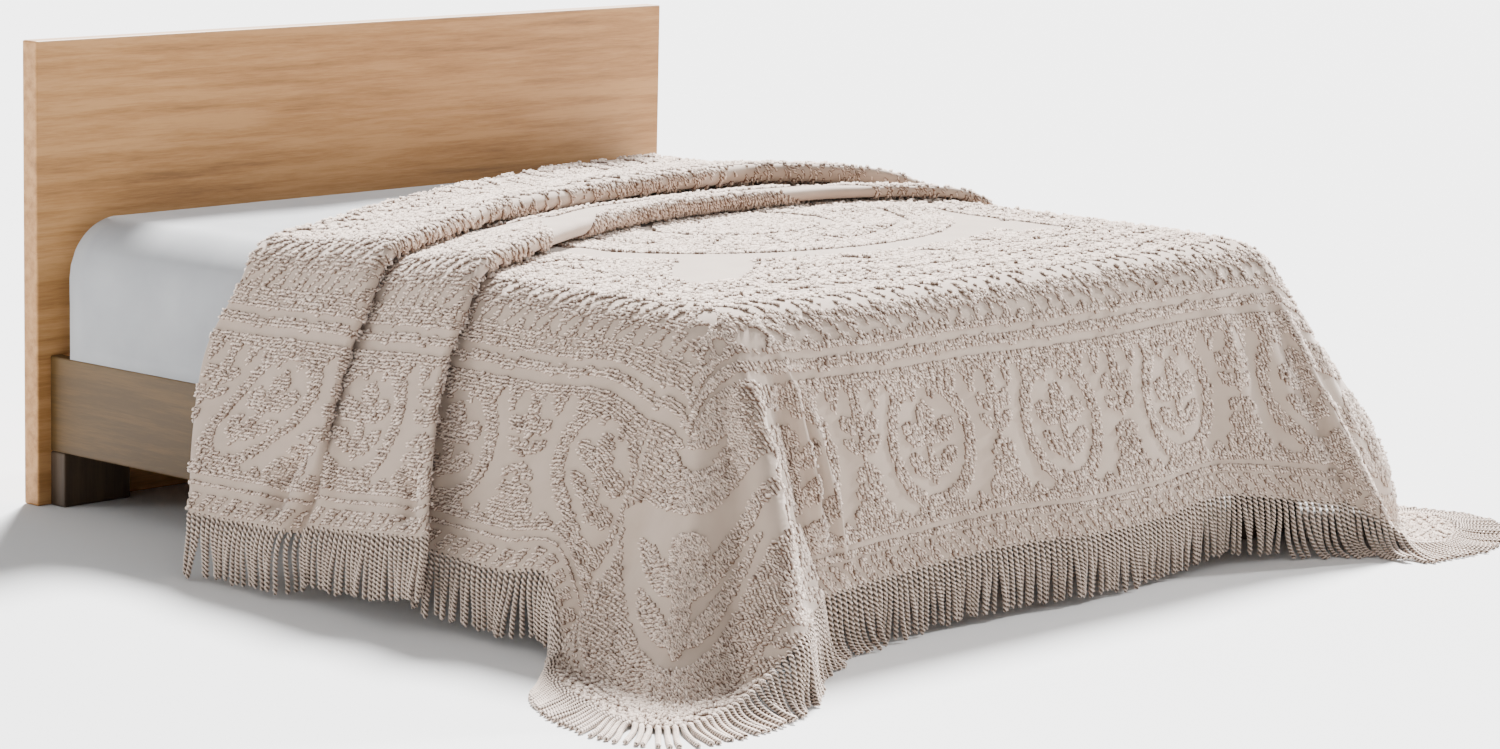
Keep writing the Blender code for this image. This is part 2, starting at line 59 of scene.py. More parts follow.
def finish_named(name, roughness):
    """A new material with its shader, ready for a finish to be built on it."""
    material = bpy.data.materials.new(name)
    material.use_nodes = True
    nodes = material.node_tree.nodes
    shader = nodes["Principled BSDF"]
    shader.inputs["Roughness"].default_value = roughness
    shader.inputs["Specular IOR Level"].default_value = 0.3
    return material, shader, nodes, material.node_tree.links


def stepped_colour(nodes, links, factor, stops):
    """A colour ramp fed by a factor, with its stops as (place, colour)."""
    ramp = nodes.new("ShaderNodeValToRGB")
    while len(ramp.color_ramp.elements) < len(stops):
        ramp.color_ramp.elements.new(0.5)
    for element, (place, colour) in zip(ramp.color_ramp.elements, stops):
        element.position = place
        element.color = (*colour, 1.0)
    links.new(factor, ramp.inputs["Fac"])
    return ramp.outputs["Color"]


def noise_on(nodes, links, place, scale, detail=4.0, roughness=0.55):
    """Fine irregularity at a scale of so many to the metre."""
    noise = nodes.new("ShaderNodeTexNoise")
    noise.inputs["Scale"].default_value = scale
    noise.inputs["Detail"].default_value = detail
    noise.inputs["Roughness"].default_value = roughness
    links.new(place, noise.inputs["Vector"])
    return noise.outputs["Fac"]


def place_stretched(nodes, links, scale):
    """Object coordinates, stretched along a board's grain."""
    coordinates = nodes.new("ShaderNodeTexCoord")
    stretch = nodes.new("ShaderNodeMapping")
    stretch.inputs["Scale"].default_value = scale
    links.new(coordinates.outputs["Object"], stretch.inputs["Vector"])
    return stretch.outputs["Vector"]


def raised_by(nodes, links, shader, height, strength, distance):
    """A bump from a height, in metres at full strength."""
    bump = nodes.new("ShaderNodeBump")
    bump.inputs["Strength"].default_value = strength
    bump.inputs["Distance"].default_value = distance
    links.new(height, bump.inputs["Height"])
    links.new(bump.outputs["Normal"], shader.inputs["Normal"])


TONES_AT = (0.50, 0.66, 0.86)
FINE_GRAIN_SHARE = 0.45


def oak(name, grain, tones):
    """Lacquered oak in three tones, with its grain drawn out along one direction."""
    material, shader, nodes, links = finish_named(name, 0.55)
    place = place_stretched(nodes, links, grain)
    broad = noise_on(nodes, links, place, scale=3.0, detail=5.0, roughness=0.6)
    fine = noise_on(nodes, links, place, scale=26.0, detail=6.0, roughness=0.7)
    both = nodes.new("ShaderNodeMath")
    both.operation = "MULTIPLY_ADD"
    both.inputs[1].default_value = FINE_GRAIN_SHARE
    links.new(fine, both.inputs[0])
    links.new(broad, both.inputs[2])
    colour = stepped_colour(nodes, links, both.outputs["Value"], tuple(zip(TONES_AT, tones)))
    links.new(colour, shader.inputs["Base Color"])
    raised_by(nodes, links, shader, fine, strength=0.35, distance=0.0006)
    return material


BOARD_OAK = oak("board_oak", (0.8, 14.0, 14.0),
                ((0.24, 0.118, 0.040), (0.35, 0.172, 0.058), (0.45, 0.240, 0.092)))
# Painted shade: the side rails' oak is darkened for the shadow under the mattress edge.
SHADED_RAIL_OAK = oak("rail_oak_painted_shade", (14.0, 0.8, 14.0),
               ((0.080, 0.043, 0.011), (0.064, 0.034, 0.008), (0.096, 0.052, 0.013)))
LEG_BLACK = oak("leg_black", (14.0, 14.0, 0.8),
                ((0.034, 0.021, 0.012), (0.052, 0.033, 0.019), (0.075, 0.048, 0.028)))

for node, finish in (("headboard", BOARD_OAK), ("deck", BOARD_OAK), ("rail_foot", BOARD_OAK),
                     ("rail_near", SHADED_RAIL_OAK), ("rail_far", SHADED_RAIL_OAK),
                     ("leg_head_near", LEG_BLACK), ("leg_head_far", LEG_BLACK),
                     ("leg_foot_near", LEG_BLACK), ("leg_foot_far", LEG_BLACK)):
    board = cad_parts[node]
    board.data.materials.clear()
    board.data.materials.append(finish)

# ---- The mattress ------------------------------------------------------------
# A king mattress in a white fitted cotton sheet, pulled down over its corners and gathered
# under its edge. Its foot corners are pressed rounder by the cloth over them.

mattress_low, mattress_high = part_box("mattress")
CENTRE_X = (mattress_low[0] + mattress_high[0]) / 2
CENTRE_Y = (mattress_low[1] + mattress_high[1]) / 2
HALF_X = (mattress_high[0] - mattress_low[0]) / 2
HALF_Y = (mattress_high[1] - mattress_low[1]) / 2
MATTRESS_TOP = mattress_high[2]
MATTRESS_HEAD_CORNER = 0.045

# The cloth bends over the mattress edge with a radius that grows towards the foot corners,
# and the mattress under it is rounded a little more. INNER_X and INNER_Y are where the flat
# top ends and the bend begins.
CLOTH_EDGE = 0.115
CORNER_EDGE = 0.150
CORNER_SHOULDER = 0.34
MATTRESS_SOFTER = 0.016
FLOOR_BEND = 0.060
SIDE_CLEARANCE = 0.007
INNER_X = HALF_X + SIDE_CLEARANCE - CLOTH_EDGE
INNER_Y = HALF_Y + SIDE_CLEARANCE - CLOTH_EDGE
BOW_SCALE = 27 / 4

# The share of its length over which a crease fades at each end.
CREASE_END = 0.35


def ease(t):
    """A smooth step from 0 to 1."""
    t = np.clip(t, 0.0, 1.0)
    return t * t * (3.0 - 2.0 * t)


def mix(a, b, share):
    """A value that share of the way from a to b."""
    return a + (b - a) * share


def shoulder(at, inner):
    """How round cloth lies over the mattress edge: rounder towards the foot corners."""
    return mix(CLOTH_EDGE, CORNER_EDGE, ease(1.0 - (inner - at) / CORNER_SHOULDER))


def fall(share, edge, reach, drop, bow, toe):
    """Cloth that turns over a round edge, falls to the floor or a hem, and lies out on its toe.

    The result is how far out and how far down each share of it lies, and how much it tilts.
    BOW_SCALE makes bow the greatest lean, which comes two thirds of the way down.
    """
    bend = np.minimum(toe, FLOOR_BEND)
    turns = edge + bend
    span = np.hypot(reach - toe, drop - turns)
    slope = np.arctan2(drop - turns, reach - toe) + np.arcsin(turns / span)
    straight = np.sqrt(span ** 2 - turns ** 2)
    along = share * (turns * slope + straight + toe)
    tilt = np.clip(along / edge, 0.0, slope)
    run = np.clip(along - edge * slope, 0.0, straight)
    part = run / straight
    lean = BOW_SCALE * part ** 2 * (1.0 - part) * bow
    out = edge * np.sin(tilt) + run * np.cos(slope) - lean * np.sin(slope)
    down = edge * (1.0 - np.cos(tilt)) + run * np.sin(slope) + lean * np.cos(slope)
    past = np.clip(along - edge * slope - straight, 0.0, None)
    level = np.clip(past / np.maximum(bend, 1e-6), 0.0, slope)
    out += bend * (np.sin(slope) - np.sin(slope - level))
    out += np.clip(past - bend * slope, 0.0, None)
    down += bend * (np.cos(slope - level) - np.cos(slope))
    return out, down, tilt


def corner_turn(beside, beyond):
    """How far out in a foot corner a point lies, and how far round from side to foot."""
    ring = np.maximum(beside, beyond)
    shorter = np.minimum(beside, beyond) / np.maximum(ring, 1e-9)
    return ring, np.where(beside > beyond, shorter / 2, 1.0 - shorter / 2)


def normals_of(points):
    """Upward or outward normals of a grid of points."""
    across = np.gradient(points, axis=1)
    along = np.gradient(points, axis=0)
    normals = np.cross(along, across)
    return normals / np.maximum(np.linalg.norm(normals, axis=2), 1e-12)[..., None]


def grid_faces(rows, columns):
    """The quads between the points of a grid."""
    index = np.arange(rows * columns).reshape(rows, columns)
    return np.stack([index[:-1, :-1], index[1:, :-1], index[1:, 1:], index[:-1, 1:]],
                    axis=-1).reshape(-1, 4)


def joined_mesh(name, corners, faces, material, shade_depth=None):
    """One smooth mesh from arrays of corners and of faces, all with as many sides.

    The last argument gives each corner, from 0 to 1, how far out of the cloth it stands, and so
    how much shade is painted into its colour, the most at 0.
    """
    mesh = bpy.data.meshes.new(name)
    mesh.vertices.add(len(corners))
    mesh.vertices.foreach_set("co", np.ascontiguousarray(corners, dtype=np.float32).ravel())
    mesh.loops.add(faces.size)
    mesh.loops.foreach_set("vertex_index", np.ascontiguousarray(faces, dtype=np.int32).ravel())
    mesh.polygons.add(len(faces))
    starts = np.arange(0, faces.size, faces.shape[1], dtype=np.int32)
    mesh.polygons.foreach_set("loop_start", starts)
    mesh.polygons.foreach_set("use_smooth", np.ones(len(faces), dtype=bool))
    mesh.update(calc_edges=True)
    if shade_depth is not None:
        mesh.attributes.new("shade_depth", "FLOAT", "POINT").data.foreach_set("value", shade_depth)
    mesh.materials.append(material)
    piece = bpy.data.objects.new(name, mesh)
    bpy.context.scene.collection.objects.link(piece)
    return piece


def creases_on(x, y, table):
    """How far soft ridges and troughs lift the cloth, each from its start to its end point."""
    lift = np.zeros(np.broadcast(x, y).shape)
    for x0, y0, x1, y1, width, height in table:
        length = np.hypot(x1 - x0, y1 - y0)
        ux, uy = (x1 - x0) / length, (y1 - y0) / length
        along = (x - x0) * ux + (y - y0) * uy
        beside = (x - x0) * uy - (y - y0) * ux
        fade = CREASE_END * length
        ends = ease(along / fade) * ease((length - along) / fade)
        lift += height * np.exp(-(beside / width) ** 2) * ends
    return lift


def mattress_point(across, along):
    """A point of the mattress.

    across and along run from -1 to 1 on its flat top, and on to -2 and 2 down its sides.
    """
    side, end = np.where(across < 0, -1.0, 1.0), np.where(along < 0, -1.0, 1.0)
    beside, beyond = np.clip(np.abs(across) - 1, 0, 1), np.clip(np.abs(along) - 1, 0, 1)
    level_x, level_y = np.clip(across, -1, 1), np.clip(along, -1, 1)
    foot_edge = shoulder(np.abs(level_x) * INNER_X, INNER_X) + MATTRESS_SOFTER
    end_edge = np.where(end < 0, foot_edge, MATTRESS_HEAD_CORNER)
    y = level_y * (HALF_Y - end_edge)
    side_edge = shoulder(-y, INNER_Y) + MATTRESS_SOFTER
    x = level_x * (HALF_X - side_edge)
    corner_edge = np.where(end < 0, CORNER_EDGE + MATTRESS_SOFTER, MATTRESS_HEAD_CORNER)
    ring, turn = corner_turn(beside, beyond)
    in_corner = (beside > 0) & (beyond > 0)
    edge = np.where(in_corner, corner_edge, np.where(beside > 0, side_edge, end_edge))
    out, down, _ = fall(ring, edge, edge, mattress_high[2] - mattress_low[2], 0.0, 0.0)
    angle = np.radians(90.0) * np.where(in_corner, turn, np.where(beside > 0, 0.0, 1.0))
    return np.stack([x + side * out * np.cos(angle) + CENTRE_X,
                     y + end * out * np.sin(angle) + CENTRE_Y, MATTRESS_TOP - down], axis=-1)


# Soft pulls in the sheet round its head corners and along the near side, in across and along:
# start, end, width and height.
SHEET_PULLS = (
    (-1.05, 0.98, -1.80, 0.80, 0.030, 0.0035), (-1.10, 1.10, -1.70, 1.02, 0.035, 0.0030),
    (-1.02, 0.86, -1.95, 0.62, 0.040, -0.0030), (-0.90, 0.90, -0.35, 0.99, 0.035, 0.0030),
    (-0.80, 0.72, -0.20, 0.93, 0.050, -0.0025), (-1.35, 0.20, -1.40, 0.95, 0.090, 0.0030),
    (-1.75, 0.10, -1.72, 1.00, 0.060, -0.0030), (1.05, 0.98, 1.80, 0.80, 0.030, 0.0035),
    (0.95, 0.85, 0.30, 0.98, 0.040, 0.0030), (1.30, 0.30, 1.45, 0.95, 0.080, 0.0030),
)

# Grid lines lie close where the mattress is rounded, and wider down its sides.
rings = np.concatenate([np.linspace(0.025, 0.36, 12), np.linspace(0.45, 1.0, 8)])
level = np.linspace(-1.0, 1.0, 41)
lines = np.concatenate([-1.0 - rings[::-1], level, 1.0 + rings])
across, along = np.meshgrid(lines, -lines)
points = mattress_point(across, along)
points += normals_of(points) * creases_on(across, along, SHEET_PULLS)[..., None]
points[[0, -1], :, 2] = mattress_low[2]
points[:, [0, -1], 2] = mattress_low[2]


def cotton_finish(name, roughness, sheen, mottle, stops, threads, strength, distance):
    """Cotton with a soft unevenness in its colour and fine raised threads.

    mottle and threads are the scale, detail and roughness of the noise for each.
    """
    material, shader, nodes, links = finish_named(name, roughness)
    shader.inputs["Sheen Weight"].default_value = sheen
    place = place_stretched(nodes, links, (1.0, 1.0, 1.0))
    colour = stepped_colour(nodes, links, noise_on(nodes, links, place, *mottle), stops)
    links.new(colour, shader.inputs["Base Color"])
    raised_by(nodes, links, shader, noise_on(nodes, links, place, *threads), strength, distance)
    return material


# Painted shade: the white sheet is given a grey colour for the shade it lies in.
shaded_sheeting = cotton_finish("white_fitted_sheet_painted_shade", 0.85, sheen=0.2, mottle=(9.0, 3.0, 0.5),
                         stops=((0.3, (0.295, 0.301, 0.314)), (0.7, (0.338, 0.344, 0.355))),
                         threads=(900.0, 2.0), strength=0.2, distance=0.0003)

mattress = joined_mesh("mattress_in_sheet", points.reshape(-1, 3),
                       grid_faces(*across.shape), shaded_sheeting)

# Underneath, the sheet is closed flat.
shape = bmesh.new()
shape.from_mesh(mattress.data)
open_edges = [edge for edge in shape.edges if len(edge.link_faces) == 1]
bmesh.ops.contextual_create(shape, geom=open_edges)
shape.to_mesh(mattress.data)
shape.free()
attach(mattress, "root")
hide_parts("mattress")

# ---- The woven cloth ---------------------------------------------------------
# One plain-woven cotton cloth, its hem turned and sewn. It lies loose over the mattress,
# drawn up into two folds, falls over both sides and the foot, and fans out at the corners.

# Flat lengths of cloth from where it leaves the top to the side hems and to the foot hem.
SIDE_LENGTH = 0.668
FOOT_LENGTH = 0.62
CLOTH_TOP = MATTRESS_TOP + 0.003
CLOTH_WEAVE = 0.002
CLOTH_LOWEST = 0.004

# Stations count along the cloth from 0, the end turned under at the head: round the roll of
# the head edge, to each fold's lip and to where that fold's cloth lies on the bed again, to
# the foot line of the mattress, and one more to the foot hem.
ROLL, ROLL_END, FIRST_LIP, FIRST_END, SECOND_LIP, SECOND_END, FOOT_LINE = 1, 2, 3, 6, 7, 10, 11

# Each table is read smoothly between its rows, by its first column.

# Across the bed: where the bedspread's head edge lies, how thick the roll of cloth turned
# under it is, and how far the turned-under cloth runs back.
HEAD_COLUMNS = ("across", "edge", "roll", "tuck")
HEAD_EDGE = (
    (-1.53, 0.245, 0.012, 0.012),
    (-1.35, 0.335, 0.012, 0.012),
    (-1.16, 0.398, 0.012, 0.012),
    (-0.98, 0.376, 0.014, 0.030),
    (-0.82, 0.415, 0.018, 0.080),
    (-0.36, 0.610, 0.026, 0.120),
    (0.14, 0.790, 0.028, 0.120),
    (0.61, 0.910, 0.026, 0.100),
    (0.95, 0.960, 0.020, 0.040),
    (1.15, 0.970, 0.012, 0.012),
    (1.53, 0.970, 0.012, 0.012),
)

# Each fold across the bed: where its lip lies, how high it stands, how far the cloth runs
# back under it, and how far it has opened into a plain valley (0 folded, 1 open).
FOLD_COLUMNS = ("across", "lip", "height", "overlap", "open")
FIRST_FOLD = (
    (-1.53, -0.060, 0.034, 0.030, 0.90),
    (-1.40, -0.095, 0.034, 0.035, 0.45),
    (-1.28, -0.075, 0.036, 0.050, 0.05),
    (-1.10, -0.050, 0.040, 0.070, 0.00),
    (-0.98, -0.048, 0.046, 0.090, 0.00),
    (-0.70, 0.069, 0.054, 0.110, 0.00),
    (-0.40, 0.218, 0.058, 0.120, 0.00),
    (0.00, 0.325, 0.060, 0.120, 0.00),
    (0.45, 0.385, 0.062, 0.110, 0.00),
    (0.68, 0.380, 0.062, 0.090, 0.00),
    (0.84, 0.240, 0.060, 0.070, 0.00),
    (0.96, 0.060, 0.052, 0.050, 0.00),
    (1.15, -0.050, 0.036, 0.040, 0.00),
    (1.53, -0.100, 0.034, 0.030, 0.60),
)
SECOND_FOLD = (
    (-1.53, -0.490, 0.036, 0.060, 0.00),
    (-1.36, -0.415, 0.036, 0.060, 0.00),
    (-1.15, -0.340, 0.038, 0.070, 0.00),
    (-0.98, -0.325, 0.042, 0.080, 0.00),
    (-0.74, -0.223, 0.048, 0.090, 0.00),
    (-0.40, -0.059, 0.050, 0.090, 0.00),
    (-0.07, 0.066, 0.048, 0.090, 0.00),
    (0.36, 0.104, 0.044, 0.080, 0.00),
    (0.63, 0.085, 0.040, 0.070, 0.00),
    (0.78, 0.030, 0.036, 0.055, 0.00),
    (0.96, -0.120, 0.034, 0.045, 0.00),
    (1.15, -0.240, 0.032, 0.040, 0.10),
    (1.53, -0.300, 0.032, 0.030, 0.60),
)

# The drops: how far the hem stands out from where the cloth leaves the top, how high it
# hangs, how the cloth bows on the way, and how much of it lies out on the floor. The sides
# read by the stations that run from the head (0) to the foot line, the foot across the bed.
SIDE_COLUMNS = ("station", "reach", "hem", "bow", "toe")
NEAR_SIDE = (
    (0.00, 0.365, 0.126, 0.000, 0.000),
    (2.00, 0.365, 0.126, 0.000, 0.000),
    (3.00, 0.370, 0.132, 0.000, 0.000),
    (5.00, 0.355, 0.142, 0.000, 0.000),
    (7.00, 0.360, 0.169, 0.000, 0.000),
    (8.00, 0.365, 0.194, 0.000, 0.000),
    (9.00, 0.335, 0.169, 0.000, 0.000),
    (10.00, 0.325, 0.150, 0.000, 0.000),
    (10.50, 0.335, 0.142, 0.000, 0.000),
    (10.84, 0.340, 0.136, 0.000, 0.000),
    (11.00, 0.385, 0.044, 0.020, 0.000),
)
FAR_SIDE = (
    (0.00, 0.335, 0.125, 0.000, 0.000),
    (3.00, 0.335, 0.128, 0.000, 0.000),
    (5.00, 0.320, 0.140, 0.000, 0.000),
    (8.00, 0.325, 0.150, 0.000, 0.000),
    (10.00, 0.315, 0.135, 0.000, 0.000),
    (10.70, 0.315, 0.120, 0.000, 0.000),
    (11.00, 0.355, 0.060, -0.010, 0.000),
)
FOOT_COLUMNS = ("across", "reach", "hem", "bow", "toe")
FOOT = (
    (-0.822, 0.250, 0.118, 0.000, 0.000),
    (-0.600, 0.240, 0.130, 0.000, 0.000),
    (-0.200, 0.251, 0.143, 0.000, 0.000),
    (0.000, 0.265, 0.136, 0.000, 0.000),
    (0.250, 0.251, 0.134, 0.000, 0.000),
    (0.570, 0.237, 0.148, 0.000, 0.000),
    (0.700, 0.275, 0.130, 0.000, 0.000),
    (0.822, 0.335, 0.110, 0.000, 0.000),
)

# The foot corners, from the side (turn 0) to the foot (turn 1): where each strip of cloth
# heads in plan, and which way its fringe lies, in degrees from straight out sideways.
CORNER_COLUMNS = ("turn", "heading", "reach", "hem", "bow", "toe", "lay")
NEAR_CORNER = (
    (0.00, 0.0, 0.420, 0.040, 0.020, 0.00, 40.0),
    (0.12, 8.0, 0.520, 0.016, 0.030, 0.03, 28.0),
    (0.28, 22.0, 0.670, 0.010, 0.030, 0.10, 14.0),
    (0.43, 30.0, 0.770, 0.009, 0.030, 0.13, 22.0),
    (0.58, 36.0, 0.825, 0.009, 0.030, 0.14, 45.0),
    (0.70, 41.0, 0.790, 0.012, 0.030, 0.12, 66.0),
    (0.80, 48.0, 0.680, 0.034, 0.030, 0.05, 78.0),
    (0.87, 54.0, 0.630, 0.080, 0.020, 0.00, 74.0),
    (0.92, 60.0, 0.585, 0.120, 0.010, 0.00, 66.0),
    (0.96, 70.0, 0.420, 0.122, 0.005, 0.00, 70.0),
    (1.00, 90.0, 0.285, 0.118, 0.000, 0.00, 90.0),
)
FAR_CORNER = (
    (0.00, 0.0, 0.390, 0.060, -0.010, 0.00, 0.0),
    (0.15, 20.0, 0.450, 0.012, -0.030, 0.03, 10.0),
    (0.30, 32.0, 0.550, 0.009, -0.040, 0.08, 30.0),
    (0.50, 50.0, 0.560, 0.009, -0.040, 0.09, 50.0),
    (0.66, 66.0, 0.520, 0.010, -0.030, 0.07, 70.0),
    (0.80, 79.0, 0.470, 0.030, -0.010, 0.02, 88.0),
    (0.90, 85.0, 0.460, 0.070, 0.000, 0.00, 100.0),
    (1.00, 90.0, 0.370, 0.110, 0.000, 0.00, 90.0),
)


def read(table, columns, name, at):
    """One named column of a table, read smoothly between its rows."""
    rows = np.array(table)
    keys, values = rows[:, 0], rows[:, columns.index(name)]
    slopes = np.gradient(values, keys)
    at = np.clip(at, keys[0], keys[-1])
    i = np.clip(np.searchsorted(keys, at) - 1, 0, len(keys) - 2)
    step = keys[i + 1] - keys[i]
    t = (at - keys[i]) / step
    curved = t * (1.0 - t) * step * ((1.0 - t) * slopes[i] - t * slopes[i + 1])
    return mix(values[i], values[i + 1], ease(t)) + curved


def read_by_side(near, far, columns, at, side):
    """Every later column of the near or the far table."""
    return [np.where(side < 0, read(near, columns, name, at), read(far, columns, name, at))
            for name in columns[1:]]


def fold_at(table, across):
    """A fold's lip line, height, overlap and openness at a place across the bed."""
    return [read(table, FOLD_COLUMNS, name, across) for name in FOLD_COLUMNS[1:]]


# How round a fold's lip is, as a share of its height; the valley of a fold that has opened;
# and how far cloth sags before a fold, as a share of the lower end's lift.
FOLD_ROUND = 0.32
VALLEY_RUN = 0.06
VALLEY_DEPTH = 0.012
SAG_BEFORE_FOLD = 0.2


def folded(part, lip, height, overlap, opened):
    """A fold's cross-section: over the lip (part 0 to 1), back under it (to 2), forward (to 3).

    The result is the place along the bed and the lift above it. Where the fold has opened,
    its cloth runs forward into a shallow valley instead.
    """
    radius = height * FOLD_ROUND
    under = height / 2 - radius
    over = np.clip(part, 0.0, 1.0) * np.pi
    back = np.clip(part - 1.0, 0.0, 1.0)
    turn = np.clip(part - 2.0, 0.0, 1.0) * np.pi
    y = lip + radius - radius * np.sin(over) + overlap * back + under * np.sin(turn)
    lift = height - radius * (1.0 - np.cos(over)) - under * (1.0 - np.cos(turn))
    share = part / 3.0
    open_y = mix(lip + radius, lip - VALLEY_RUN, share)
    open_lift = height * 0.5 * (1.0 - ease(share)) - VALLEY_DEPTH * np.sin(np.pi * share)
    return mix(y, open_y, opened), mix(lift, open_lift, opened)


def run_to_fold(share, y, lift, fold_values):
    """Cloth that leaves a place on the bed and climbs to the next fold's lip."""
    lip_y, lip_lift = folded(0.0, *fold_values)
    sag = SAG_BEFORE_FOLD * np.minimum(lift, lip_lift) * np.sin(np.pi * share)
    return mix(y, lip_y, share), mix(lift, lip_lift, ease((share - 0.1) / 0.9)) - sag


def along_bed(station, across):
    """Where the cloth lies along the bed, and its lift, from the head edge to the foot line."""
    edge, roll, tuck = (read(HEAD_EDGE, HEAD_COLUMNS, name, across) for name in HEAD_COLUMNS[1:])
    first, second = fold_at(FIRST_FOLD, across), fold_at(SECOND_FOLD, across)
    first_end, second_end = folded(3.0, *first), folded(3.0, *second)
    foot = -(INNER_Y + CLOTH_EDGE - shoulder(np.abs(across), INNER_X))
    turn = np.clip(station - ROLL, 0.0, 1.0) * np.pi
    to_first = np.clip(station - ROLL_END, 0.0, 1.0)
    to_second = np.clip(station - FIRST_END, 0.0, 1.0)
    to_foot = np.clip(station - SECOND_END, 0.0, 1.0)
    spans = (
        (0, (edge - roll / 2 - tuck * np.clip(ROLL - station, 0.0, 1.0), 0.0 * edge)),
        (ROLL, (edge - roll / 2 * (1.0 - np.sin(turn)), roll / 2 * (1.0 - np.cos(turn)))),
        (ROLL_END, run_to_fold(to_first, edge - roll / 2, roll, first)),
        (FIRST_LIP, folded(np.clip(station - FIRST_LIP, 0.0, 3.0), *first)),
        (FIRST_END, run_to_fold(to_second, *first_end, second)),
        (SECOND_LIP, folded(np.clip(station - SECOND_LIP, 0.0, 3.0), *second)),
        (SECOND_END, (mix(second_end[0], foot, to_foot),
                      second_end[1] * (1.0 - ease(to_foot * 4)))),
    )
    y, lift = spans[0][1]
    for start, (span_y, span_lift) in spans[1:]:
        y = np.where(station > start, span_y, y)
        lift = np.where(station > start, span_lift, lift)
    return y, lift


def past_edges(across, station):
    """The side (-1 near, 1 far), and how far past the mattress's side and foot edge."""
    return (np.where(across < 0, -1.0, 1.0), np.clip(np.abs(across) - 1.0, 0.0, 1.0),
            np.clip(station - FOOT_LINE, 0.0, 1.0))


def drape(across, station):
    """A point of the sheet's middle surface.

    across runs -2 (near hem), -1 (near mattress edge), 1 (far edge), 2 (far hem);
    station runs 0 (head) to FOOT_LINE (foot edge of the mattress) and one more to the hem.
    """
    across, station = np.broadcast_arrays(across * 1.0, station * 1.0)
    side, beside, beyond = past_edges(across, station)
    over_top = np.clip(np.abs(across), 0.0, 1.0)
    spread = side * (INNER_X * over_top + SIDE_LENGTH * beside)
    outer_x, outer_y = INNER_X + CLOTH_EDGE, INNER_Y + CLOTH_EDGE

    # The top and the two sides.
    y, lift = along_bed(np.clip(station, 0.0, FOOT_LINE), spread)
    edge = shoulder(-y, INNER_Y)
    reach, hem, bow, toe = read_by_side(NEAR_SIDE, FAR_SIDE, SIDE_COLUMNS, station, side)
    reach = reach + edge - CLOTH_EDGE
    out, down, tilt = fall(beside, edge, reach, CLOTH_TOP - hem, bow, toe)
    x = side * ((outer_x - edge) * over_top + out + lift * np.sin(tilt))
    z = CLOTH_TOP - down + lift * np.cos(tilt)

    # The foot.
    edge = shoulder(np.abs(spread), INNER_X)
    reach, hem, bow, toe = (read(FOOT, FOOT_COLUMNS, name, spread) for name in FOOT_COLUMNS[1:])
    reach = reach + edge - CLOTH_EDGE
    out, down, tilt = fall(beyond, edge, reach, CLOTH_TOP - hem, bow, toe)
    on_foot = (beyond > 0) & (beside == 0)
    y = np.where(on_foot, -(outer_y - edge) - out, y)
    z = np.where(on_foot, CLOTH_TOP - down, z)

    # The foot corners, where strips of cloth fan out from the mattress corner.
    ring, turn = corner_turn(beside, beyond)
    heading, reach, hem, bow, toe, _ = read_by_side(NEAR_CORNER, FAR_CORNER, CORNER_COLUMNS,
                                                    turn, side)
    out, down, tilt = fall(ring, CORNER_EDGE, reach, CLOTH_TOP - hem, bow, toe)
    in_corner = (beside > 0) & (beyond > 0)
    corner_x = outer_x - CORNER_EDGE + out * np.cos(np.radians(heading))
    corner_y = outer_y - CORNER_EDGE + out * np.sin(np.radians(heading))
    x = np.where(in_corner, side * corner_x, x)
    y = np.where(in_corner, -corner_y, y)
    z = np.where(in_corner, CLOTH_TOP - down, z)
    return np.stack([x + CENTRE_X, y + CENTRE_Y, z], axis=-1)
